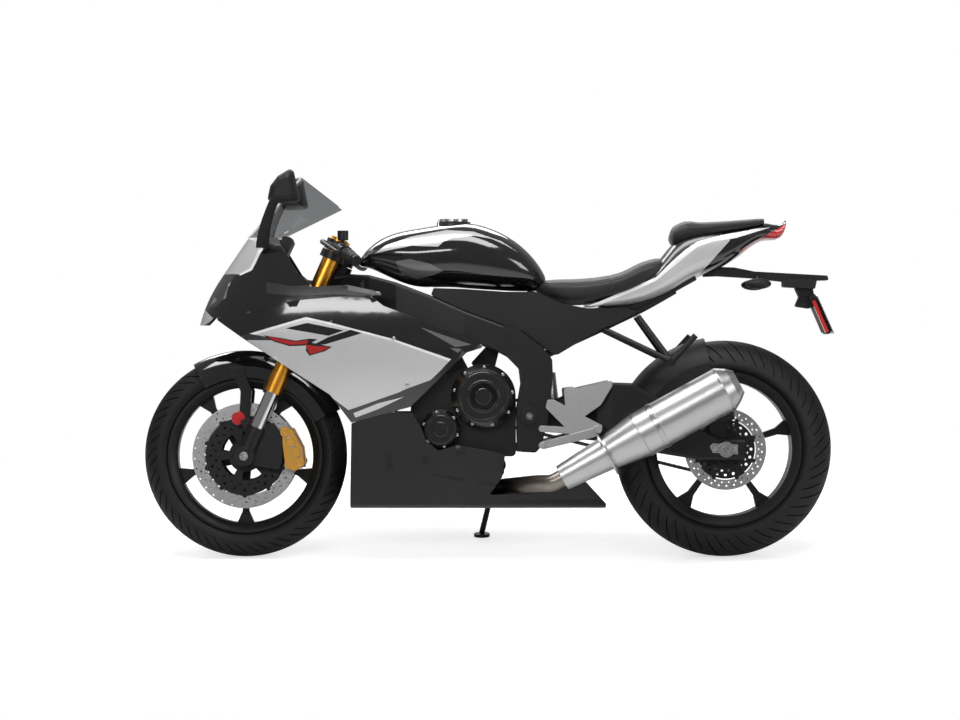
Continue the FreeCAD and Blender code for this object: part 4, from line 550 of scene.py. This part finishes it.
def brake_disc(name, centre, radius, inner, rows, buttons, hub, body, replaced):
    """A drilled band, its carrier and the buttons between them."""
    holes = [ring_of(inner, 72)]
    per_row = 30
    for number, r in enumerate(rows):
        for k in range(per_row):
            turn = 2 * math.pi * (k + number * 0.36) / per_row
            holes.append(ring_of(2.9 if number % 2 else 2.5, 10, r * math.cos(turn), r * math.sin(turn)))
    band = cut_plate(name, ring_of(radius, 96), holes, 5)
    carrier_out = inner - 3
    windows = [ring_of(30, 32)]
    for k in range(5):
        windows.append(wedge(hub, carrier_out * 0.62, 2 * math.pi * (k + 0.5) / 5, 0.42))
    for k in range(20):
        for r, size in ((carrier_out * 0.74, 3.6), (carrier_out * 0.87, 4.4)):
            turn = 2 * math.pi * (k + (0.5 if r < carrier_out * 0.8 else 0)) / 20
            windows.append(ring_of(size, 10, r * math.cos(turn), r * math.sin(turn)))
    carrier = cut_plate(name + "_carrier", ring_of(carrier_out, 72), windows, 4.4)
    for k in range(buttons):
        turn = 2 * math.pi * (k + 0.5) / buttons
        pin(carrier, ((inner - 1) * math.cos(turn), 0, (inner - 1) * math.sin(turn)), 3.6, 6.5)
    for k in range(5):
        turn = 2 * math.pi * k / 5
        bolt(carrier, (hub * 0.86 * math.cos(turn), 2.2, hub * 0.86 * math.sin(turn)), 5)
    band.transform(Matrix.Translation(centre))
    carrier.transform(Matrix.Translation(centre))
    piece(name, band, body, disc_steel, replaced)
    piece(name + "_carrier", carrier, body, satin_black)


brake_disc("front_disc_left", FRONT_PLACE + Vector((0, 68.5, 0)), 155, 119, (127, 137, 148), 10, 46,
           "front_wheel", ["front_discs"])
brake_disc("front_disc_right", FRONT_PLACE - Vector((0, 68.5, 0)), 155, 119, (127, 137, 148), 10, 46,
           "front_wheel", ["front_discs"])
brake_disc("rear_disc_plate", REAR_PLACE + Vector((0, 111.5, 0)), 120, 90, (98, 108), 8, 46, "rear_wheel",
           ["rear_disc"])

# ---- Drive chain
# Roller chain in oiled steel: pairs of side plates, inner and outer in turn, on pins and rollers, round the
# engine's sprocket and the rear one.

dress(steel, "rear_sprocket")
chain_steel = grained("oiled_chain_steel", (0.1, 0.095, 0.085), (0.2, 0.19, 0.17), 0.32, 0.46, metal=1.0)
CHAIN_Y = -119
DRIVE_PLACE = Vector((-48, 0, 430))
PITCH_DRIVE, PITCH_REAR = 37.0, 87.0
rear_flat = Vector((REAR_PLACE.x, 0, REAR_PLACE.z))
run = rear_flat - DRIVE_PLACE
run_length = run.length
run_turn = math.atan2(run.z, run.x)
lean_in = math.asin((PITCH_REAR - PITCH_DRIVE) / run_length)
top_turn = run_turn - math.pi / 2 - lean_in
low_turn = run_turn + math.pi / 2 + lean_in


def around(centre, radius, turn):
    """A point at an angle round a centre, in side view."""
    return centre + Vector((math.cos(turn), 0, math.sin(turn))) * radius


def chain_path():
    """Points along the chain's pitch line, closely spaced."""
    line = []
    straight = [(around(DRIVE_PLACE, PITCH_DRIVE, top_turn), around(rear_flat, PITCH_REAR, top_turn)),
                (around(rear_flat, PITCH_REAR, low_turn), around(DRIVE_PLACE, PITCH_DRIVE, low_turn))]
    line += [straight[0][0].lerp(straight[0][1], k / 200) for k in range(200)]
    wrap = (top_turn - low_turn) % (2 * math.pi)
    line += [around(rear_flat, PITCH_REAR, top_turn - wrap * k / 80) for k in range(80)]
    line += [straight[1][0].lerp(straight[1][1], k / 200) for k in range(200)]
    wrap = 2 * math.pi - wrap
    line += [around(DRIVE_PLACE, PITCH_DRIVE, low_turn - wrap * k / 40) for k in range(41)]
    return line


def evenly(line, count):
    """The same line as a closed run of evenly spaced points."""
    lengths = [0.0]
    for a, b in zip(line, line[1:]):
        lengths.append(lengths[-1] + (b - a).length)
    out, k = [], 0
    for n in range(count):
        want = lengths[-1] * n / count
        while lengths[k + 1] < want:
            k += 1
        share = (want - lengths[k]) / max(lengths[k + 1] - lengths[k], 1e-6)
        out.append(line[k].lerp(line[k + 1], share))
    return out


chain_line = chain_path()
chain_length = sum((b - a).length for a, b in zip(chain_line, chain_line[1:]))
CHAIN_PITCH, PLATE_RADIUS = 15.875, 5.6
links = 2 * round(chain_length / CHAIN_PITCH / 2)
joints_of_chain = evenly(chain_line, links)
made = bmesh.new()
for k, here in enumerate(joints_of_chain):
    after = joints_of_chain[(k + 1) % links]
    along = (after - here).normalized()
    over = Vector((-along.z, 0, along.x))
    outline = []
    for centre, start in ((here, 60), (after, -120)):
        for step in range(7):
            turn = math.radians(start + step * 40)
            out = centre + (along * math.cos(turn) + over * math.sin(turn)) * PLATE_RADIUS
            outline.append((out.x, out.z))
    for side_sign in (-1, 1):
        y = CHAIN_Y + side_sign * (5.4 if k % 2 else 7.2)
        slab(made, outline, y - 0.8, y + 0.8, 0.3)
    middle = here + Vector((0, CHAIN_Y, 0))
    pin(made, middle, 8, 2.6, 8)
    pin(made, middle, 4, 4.6, 10)
piece("drive_chain_links", made, "chassis", chain_steel, ["chain"])

# ---- Fork and bars
# Gold-anodised upper tubes over hard chrome sliders in satin feet, clamped by forged yokes; the bars carry
# rubber grips, and each leg a round red reflector.

gold = grained("gold_anodising", (0.72, 0.3, 0.03), (0.82, 0.38, 0.06), 0.24, 0.34, grain_scale=1500,
               metal=1.0)
chrome = grained("hard_chrome", (0.7, 0.7, 0.71), (0.78, 0.78, 0.79), 0.05, 0.1, metal=1.0)
black_rubber = grained("black_rubber", grey(0.006), grey(0.01), 0.55, 0.7, grain_scale=1500, depth=0.0001)
red_lens = grained("red_lens", (0.42, 0.01, 0.012), (0.56, 0.02, 0.02), 0.1, 0.16, coat=1.0)
dress(gold, "fork_tubes")
dress(chrome, "fork_sliders")
dress(satin_black, "fork_feet", "yokes", "handlebars")
dress(black_rubber, "grips")

REFLECTOR_X, REFLECTOR_Z = 726, 412
made = bmesh.new()
y = surface_y("front_fender", REFLECTOR_X, REFLECTOR_Z)
reflector_place = (REFLECTOR_X, y if y > 40 else 84, REFLECTOR_Z)
lathe(made, [(-2, 20), (3, 20), (4.5, 18.5), (5.2, 10)], reflector_place, SIDEWAYS, 40)
mirror(made)
piece("fork_reflectors", made, "steering", red_lens)

# ---- Front mudguard
# One gloss black moulding over the tyre, between the fork legs. The same black is used for the bodywork.

gloss_black = grained("gloss_black_paint", grey(0.006), grey(0.009), 0.1, 0.14, coat=1.0)
dress(gloss_black, "front_fender")

# ---- Calipers
# Gold four-piston castings over the front discs, with turned piston caps and the bolts that clamp the
# halves; the rear one is plain satin black.

gold_caliper = grained("gold_caliper_paint", (0.6, 0.3, 0.05), (0.72, 0.4, 0.09), 0.3, 0.42, metal=0.85,
                       depth=0.00005)
dress(gold_caliper, "front_calipers")
dress(satin_black, "rear_caliper")

DISC_SIDE = 60
made, screws = bmesh.new(), bmesh.new()
caliper_spots = [(588, 372), (571, 342), (556, 312), (545, 282)]
for x, z in caliper_spots:
    y = surface_y("front_calipers", x, z)
    if y > DISC_SIDE:
        lathe(made, [(-1, 15), (2.2, 15), (3.4, 13.6), (3.4, 9), (1.8, 7.4)], (x, y, z), SIDEWAYS, 30)
for x, z in ((603, 386), (580, 357), (562, 327), (549, 297), (540, 268)):
    y = surface_y("front_calipers", x, z)
    if y > DISC_SIDE:
        bolt(screws, (x, y, z), 5.5)
mirror(made)
mirror(screws)
piece("caliper_piston_caps", made, "steering", gold_caliper)
piece("caliper_bolts", screws, "steering", steel)

# ---- Exhaust
# Heat-tinted pipes run under the engine to a brushed steel can. It has polished clamp bands and a rolled lip
# at its mouth.

exhaust_steel = grained("heated_steel", (0.2, 0.17, 0.14), (0.36, 0.33, 0.3), 0.3, 0.45, metal=1.0)
brushed = grained("brushed_steel", (0.46, 0.46, 0.47), (0.6, 0.6, 0.61), 0.26, 0.42, grain_scale=260,
                  stretch=14, metal=1.0)
dress(exhaust_steel, "exhaust_pipes")
dress(brushed, "muffler")

made = bmesh.new()
can_start, can_end = Vector((-226, 220, 240)), Vector((-700, 246, 500))
can_way = (can_end - can_start).normalized()
can_length = (can_end - can_start).length
for along, outer, width in ((150, 69.6, 7), (262, 69.8, 4), (318, 70.6, 16), (can_length - 4, 69.4, 6)):
    half = width / 2
    profile = [(-half, outer - 4), (-half, outer - 1), (-half + 1, outer), (half - 1, outer), (half, outer - 1),
               (half, outer - 4)]
    lathe(made, profile, can_start + can_way * along, can_way, 72)
piece("muffler_bands", made, "chassis", steel)

# ---- Radiator and shock
# The radiator is one dark core behind the front wheel, and the shock a machined body between the arm and
# the frame.

dress(satin_black, "radiator")
dress(steel, "rear_shock")

# ---- Footrests
# Cast alloy hangers, guards and pedals for the rider. The passenger's are black tubes bolted to the tail
# frame.

cast_grey = grained("cast_alloy", (0.42, 0.42, 0.43), (0.52, 0.52, 0.53), 0.3, 0.44, grain_scale=1300,
                    depth=0.00008, metal=0.9)
dress(cast_grey, "footrests")
dress(frame_black, "passenger_footrests")

# ---- Side panels
# Moulded plastic shells in gloss black with a silver-white field, dark blocks and a red flash, each with a
# pin-headed fastener; the inside is bare plastic.

silver_paint_and_reflection = grained("silver_metallic_paint_and_reflection", (0.56, 0.56, 0.57), (0.63, 0.63, 0.64), 0.24, 0.34,
                       grain_scale=3000, metal=0.35, coat=1.0)
white_paint_and_highlight = grained("white_paint_and_highlight", (0.8, 0.8, 0.81), (0.86, 0.86, 0.87), 0.18, 0.25, grain_scale=2500,
                      coat=1.0)
dark_paint = grained("dark_grey_paint", grey(0.02), grey(0.028), 0.25, 0.34, grain_scale=2500, coat=0.7)
mid_paint = grained("mid_grey_paint", grey(0.12), grey(0.17), 0.24, 0.32, grain_scale=2500, metal=0.3,
                    coat=0.8)
red_paint = grained("red_paint", (0.36, 0.006, 0.008), (0.44, 0.012, 0.012), 0.2, 0.28, coat=1.0)
matt_plastic_and_shade = grained("moulded_plastic_and_painted_shade", grey(0.007), grey(0.011), 0.48, 0.62, grain_scale=1800,
                       depth=0.00008)
PAINTS = [gloss_black, silver_paint_and_reflection, white_paint_and_highlight, dark_paint, mid_paint, red_paint, matt_plastic_and_shade]
BLACK, SILVER_AND_REFLECTION, WHITE_AND_HIGHLIGHT, DARK, MID, RED, BARE = range(7)
SIDE_AREAS = [
    ([(714, 653), (522, 709), (459, 695), (268, 645), (98, 586), (128, 554), (158, 525), (227, 500),
      (251, 489), (311, 468), (398, 437), (450, 476)], SILVER_AND_REFLECTION),
    ([(714, 654), (522, 709), (459, 695), (268, 645), (98, 586), (104, 580), (268, 639), (459, 689),
      (522, 703), (704, 648)], WHITE_AND_HIGHLIGHT),
    ([(716, 656), (690, 661), (612, 646), (612, 641), (700, 642)], DARK),
    ([(384, 428), (378, 415), (311, 440), (236, 476), (311, 457)], SILVER_AND_REFLECTION),
    ([(583, 676), (518, 692), (411, 670), (455, 654)], BLACK),
    ([(391, 672), (357, 662), (466, 629), (500, 628), (457, 650)], BLACK),
    ([(648, 656), (596, 648), (552, 640), (511, 646), (488, 644), (505, 634), (445, 622), (466, 609),
      (512, 596), (523, 612), (520, 626), (570, 624), (616, 637)], BLACK),
    ([(638, 653), (596, 645), (552, 637), (514, 642), (522, 630), (570, 628), (613, 640)], RED),
    ([(525, 629), (492, 624), (453, 622), (468, 612), (509, 600), (517, 613)], RED),
    ([(188, 679), (39, 629), (85, 621)], MID),
    ([(101, 619), (67, 616), (78, 604)], MID),
]


def inside(outline, x, z):
    """Whether a point in side view lies in an outline."""
    found = False
    for (x0, z0), (x1, z1) in zip(outline, outline[1:] + outline[:1]):
        if (z0 > z) != (z1 > z) and x < (x1 - x0) * (z - z0) / (z1 - z0) + x0:
            found = not found
    return found


def paint_areas(made, areas):
    """Cuts a skin along outlines in side view and paints each area: areas are (outline, finish number)."""
    for outline, _ in areas:
        for (x0, z0), (x1, z1) in zip(outline, outline[1:] + outline[:1]):
            low_x, high_x, low_z, high_z = min(x0, x1) - 2, max(x0, x1) + 2, min(z0, z1) - 2, max(z0, z1) + 2
            near = []
            for face in made.faces:
                xs = [v.co.x for v in face.verts]
                zs = [v.co.z for v in face.verts]
                if max(xs) > low_x and min(xs) < high_x and max(zs) > low_z and min(zs) < high_z:
                    near.append(face)
            if not near:
                continue
            geom = near + list({e for f in near for e in f.edges}) + list({v for f in near for v in f.verts})
            bmesh.ops.bisect_plane(made, geom=geom, dist=0.0005, plane_co=(x0, 0, z0),
                                   plane_no=(z1 - z0, 0, x0 - x1))
    for face in made.faces:
        centre = face.calc_center_median()
        for outline, number in areas:
            if inside(outline, centre.x, centre.z):
                face.material_index = number


for hand, node_name in ((1, "left_fairing"), (-1, "right_fairing")):
    made = panel_copy(node_name)
    paint_areas(made, SIDE_AREAS)
    for face in made.faces:
        if face.normal.y * hand < -0.1:
            face.material_index = BARE
    piece(node_name + "_panel", made, "chassis", PAINTS, [node_name])

made = bmesh.new()
for x, z in ((225, 512), (265, 646)):
    bolt(made, (x, surface_y("left_fairing", x, z), z), 6)
mirror(made)
piece("side_panel_fasteners", made, "chassis", steel)

# ---- Nose
# The cowl's crown is silver with a painted white highlight on its edge, its sides dark grey above gloss black;
# smoked lenses with painted highlights in bright metal strips cover the lamps; the screen is a thin clear sheet.

made = panel_copy("nose_cowl")
paint_areas(made, [
    ([(900, 640), (900, 1000), (600, 1000), (612, 971), (636, 943), (664, 899), (688, 851), (722, 836),
      (790, 838), (840, 742), (800, 705)], SILVER_AND_REFLECTION),
    # The thin white strip along the crown's edge is a painted highlight.
    ([(722, 838), (690, 854), (668, 905), (641, 948), (634, 948), (660, 899), (685, 848), (722, 832)], WHITE_AND_HIGHLIGHT),
    ([(640, 812), (560, 800), (400, 812), (290, 790), (290, 764), (430, 776), (560, 772), (640, 780)], DARK),
    ([(400, 812), (290, 790), (290, 770), (400, 787)], MID),
])
for face in made.faces:
    centre = face.calc_center_median()
    if abs(centre.y) > 12 and face.normal.y * centre.y < -0.15 * abs(centre.y):
        face.material_index = BARE
piece("nose_cowl_shell", made, "chassis", PAINTS, ["nose_cowl"])
lens_highlight_metal = grained("lens_painted_highlight", (0.8, 0.81, 0.83), (0.92, 0.93, 0.95), 0.05, 0.12, metal=1.0)
clear_lens_dark = grained("smoked_lens", grey(0.03), grey(0.06), 0.06, 0.1, coat=1.0)
made = panel_copy("headlights")
# The bright metal strips on the lens face are painted highlights.
paint_areas(made, [
    ([(786, 746), (772, 760), (762, 790), (756, 812), (748, 812), (752, 786), (760, 762), (774, 742)], 1),
    ([(812, 744), (800, 770), (790, 760)], 1),
])
piece("headlight_lenses", made, "chassis", [clear_lens_dark, lens_highlight_metal], ["headlights"])

glass, tree, surface = shader("screen_glass")
surface.inputs["Base Color"].default_value = (0.96, 0.97, 0.98, 1)
surface.inputs["Roughness"].default_value = 0.02
surface.inputs["Transmission Weight"].default_value = 1.0
surface.inputs["IOR"].default_value = 1.08
dress(glass, "windscreen")
dress(matt_plastic_and_shade, "instruments", "mirrors")

# ---- Fuel tank
# Pressed steel in gloss black with a silver band, its thin rear run a painted reflection, and dark side
# fillets. The filler cap is machined.

made = panel_copy("fuel_tank")
paint_areas(made, [
    # The band's broad front part is silver paint; its thin rear run is a painted reflection.
    ([(324, 897), (291, 921), (216, 947), (111, 966), (32, 961), (-50, 933), (-100, 900), (-60, 922),
      (-20, 940), (32, 949), (97, 942), (122, 930), (137, 916), (215, 919), (272, 908)], SILVER_AND_REFLECTION),
    ([(350, 866), (300, 884), (235, 862), (200, 838), (150, 820), (110, 806), (210, 795), (372, 850)], DARK),
    ([(262, 874), (220, 880), (160, 866), (122, 845), (150, 833), (200, 822), (246, 838)], MID),
])
piece("fuel_tank_shell", made, "chassis", PAINTS, ["fuel_tank"])
dress(steel, "fuel_cap")

# ---- Tail
# A self-coloured cowl: silver flanks under a painted white highlight along the upper edge, dark deck and
# black stern, with a red tail light let into its point.

made = panel_copy("tail_cowl")
paint_areas(made, [
    ([(-280, 760), (-343, 752), (-504, 822), (-549, 862), (-627, 925), (-722, 950), (-722, 935), (-613, 813),
      (-547, 775), (-428, 742), (-343, 730), (-280, 730)], SILVER_AND_REFLECTION),
    # The white band along the upper edge is a painted highlight.
    ([(-280, 735), (-343, 758), (-504, 827), (-546, 869), (-589, 907), (-627, 933), (-722, 957), (-845, 976),
      (-741, 943), (-674, 933), (-627, 917), (-551, 855), (-504, 817), (-343, 746), (-280, 728)], WHITE_AND_HIGHLIGHT),
    ([(-546, 869), (-589, 907), (-627, 933), (-700, 952), (-700, 1010), (-500, 1010), (-500, 850)], DARK),
])
piece("tail_cowl_shell", made, "chassis", PAINTS, ["tail_cowl"])
dress(red_lens, "tail_light")

# ---- Seats
# Moulded foam under tight black vinyl: a crowned top, a sewn edge line and, on the passenger's pad, a
# sewn front bolster.

vinyl = grained("seat_vinyl", grey(0.009), grey(0.015), 0.42, 0.55, grain_scale=1300, depth=0.00018)
vinyl.node_tree.nodes["Principled BSDF"].inputs["Sheen Weight"].default_value = 0.15
# each row: how far ahead, the underside's and the top's height, half the width, and how square the section is
RIDER_SEAT = [
    (-150, 790, 800, 30, 2.2), (-166, 776, 813, 66, 2.4), (-205, 754, 819, 104, 2.8), (-274, 746, 821, 130, 3),
    (-340, 756, 827, 140, 3), (-403, 772, 841, 142, 3), (-462, 794, 869, 134, 3), (-512, 820, 882, 118, 2.8),
    (-545, 846, 872, 84, 2.4),
]
REAR_SEAT = [
    (-548, 934, 952, 56, 2.2), (-560, 922, 976, 84, 2.4), (-596, 938, 992, 100, 2.8), (-640, 950, 989, 100, 3),
    (-720, 964, 993, 92, 3), (-800, 979, 999, 76, 3), (-826, 986, 1000, 62, 2.6),
]
SEAT_CROWN, EDGE_SEAM, CROSS_SEAM, EDGE_TURN = 3.0, 1.7, 1.8, 0.62


def smooth_rows(table, steps):
    """A smooth run through a table's rows."""
    rows = [table[0], *table, table[-1]]
    out = []
    for a, b, c, d in zip(rows, rows[1:], rows[2:], rows[3:]):
        for k in range(steps):
            t = k / steps
            out.append([0.5 * (2 * q + (r - p) * t + (2 * p - 5 * q + 4 * r - s) * t * t
                               + (3 * q - p - 3 * r + s) * t ** 3) for p, q, r, s in zip(a, b, c, d)])
    return out + [list(table[-1])]


def seat(name, stations, node_name, seams_at):
    """A padded seat lofted through its stations, with sewn lines pressed into it."""
    made = bmesh.new()
    rings = []
    count = 112
    for x, low, high, wide, full in smooth_rows(stations, 14):
        ring = []
        for k in range(count):
            turn = 2 * math.pi * k / count
            c, s = math.cos(turn), math.sin(turn)
            y = wide * math.copysign(abs(c) ** (2 / full), c)
            z = (low + high) / 2 + (high - low) / 2 * math.copysign(abs(s) ** (2 / full), s)
            if s > 0:
                z += SEAT_CROWN * (1 - (y / wide) ** 2) * s
            pull = sum(EDGE_SEAM * math.exp(-((near - EDGE_TURN) / 0.035) ** 2) for near in (turn, math.pi - turn))
            if s > -0.1:
                pull += sum(CROSS_SEAM * math.exp(-((x - at) / 2.2) ** 2) for at in seams_at)
            y -= pull * c * 0.9
            z -= pull * max(s, 0) * 0.9
            ring.append((x, y, z))
        rings.append(ring)
    skin(made, rings, caps=True)
    thing = piece(name, made, "chassis", vinyl, [node_name])


seat("rider_seat_pad", RIDER_SEAT, "rider_seat", (-372,))
seat("passenger_seat_pad", REAR_SEAT, "passenger_seat", (-602,))

# ---- Belly pan
# One trough of dark satin plastic under the engine. A slanted vent, a round drain and two scores are marked
# on each side as painted shade in darker matt plastic; they are painted, not cut.

belly_plastic = grained("belly_paint", grey(0.011), grey(0.017), 0.3, 0.4, grain_scale=1600, depth=0.00003)
made = panel_copy("belly_pan")
# The vent, the drain and the scores are painted shade: darker matt plastic where openings and grooves would lie in
# shadow.
paint_areas(made, [
    ([(292, 310), (274, 312), (268, 262), (286, 258)], 1), (ring_of(13, 16, 175, 293), 1),
    ([(60, 236), (150, 252), (156, 244), (66, 226)], 1), ([(-60, 216), (20, 228), (22, 220), (-58, 208)], 1),
])
piece("belly_pan_shell", made, "chassis", [belly_plastic, matt_plastic_and_shade], ["belly_pan"])

# ---- Rear end
# Moulded guards, side covers and a stalk. It carries the blank alloy plate, the turn lamps and two red
# reflector bars.

dress(matt_plastic_and_shade, "side_covers", "rear_mudguard", "rear_hugger", "rear_indicators")
dress(cast_grey, "licence_plate")

made = bmesh.new()
for middle in (-70, 70):
    slab(made, [(-966, 756), (-976, 760), (-1016, 668), (-1006, 664)], middle - 9, middle + 9, 1)
piece("rear_reflectors", made, "chassis", red_lens)
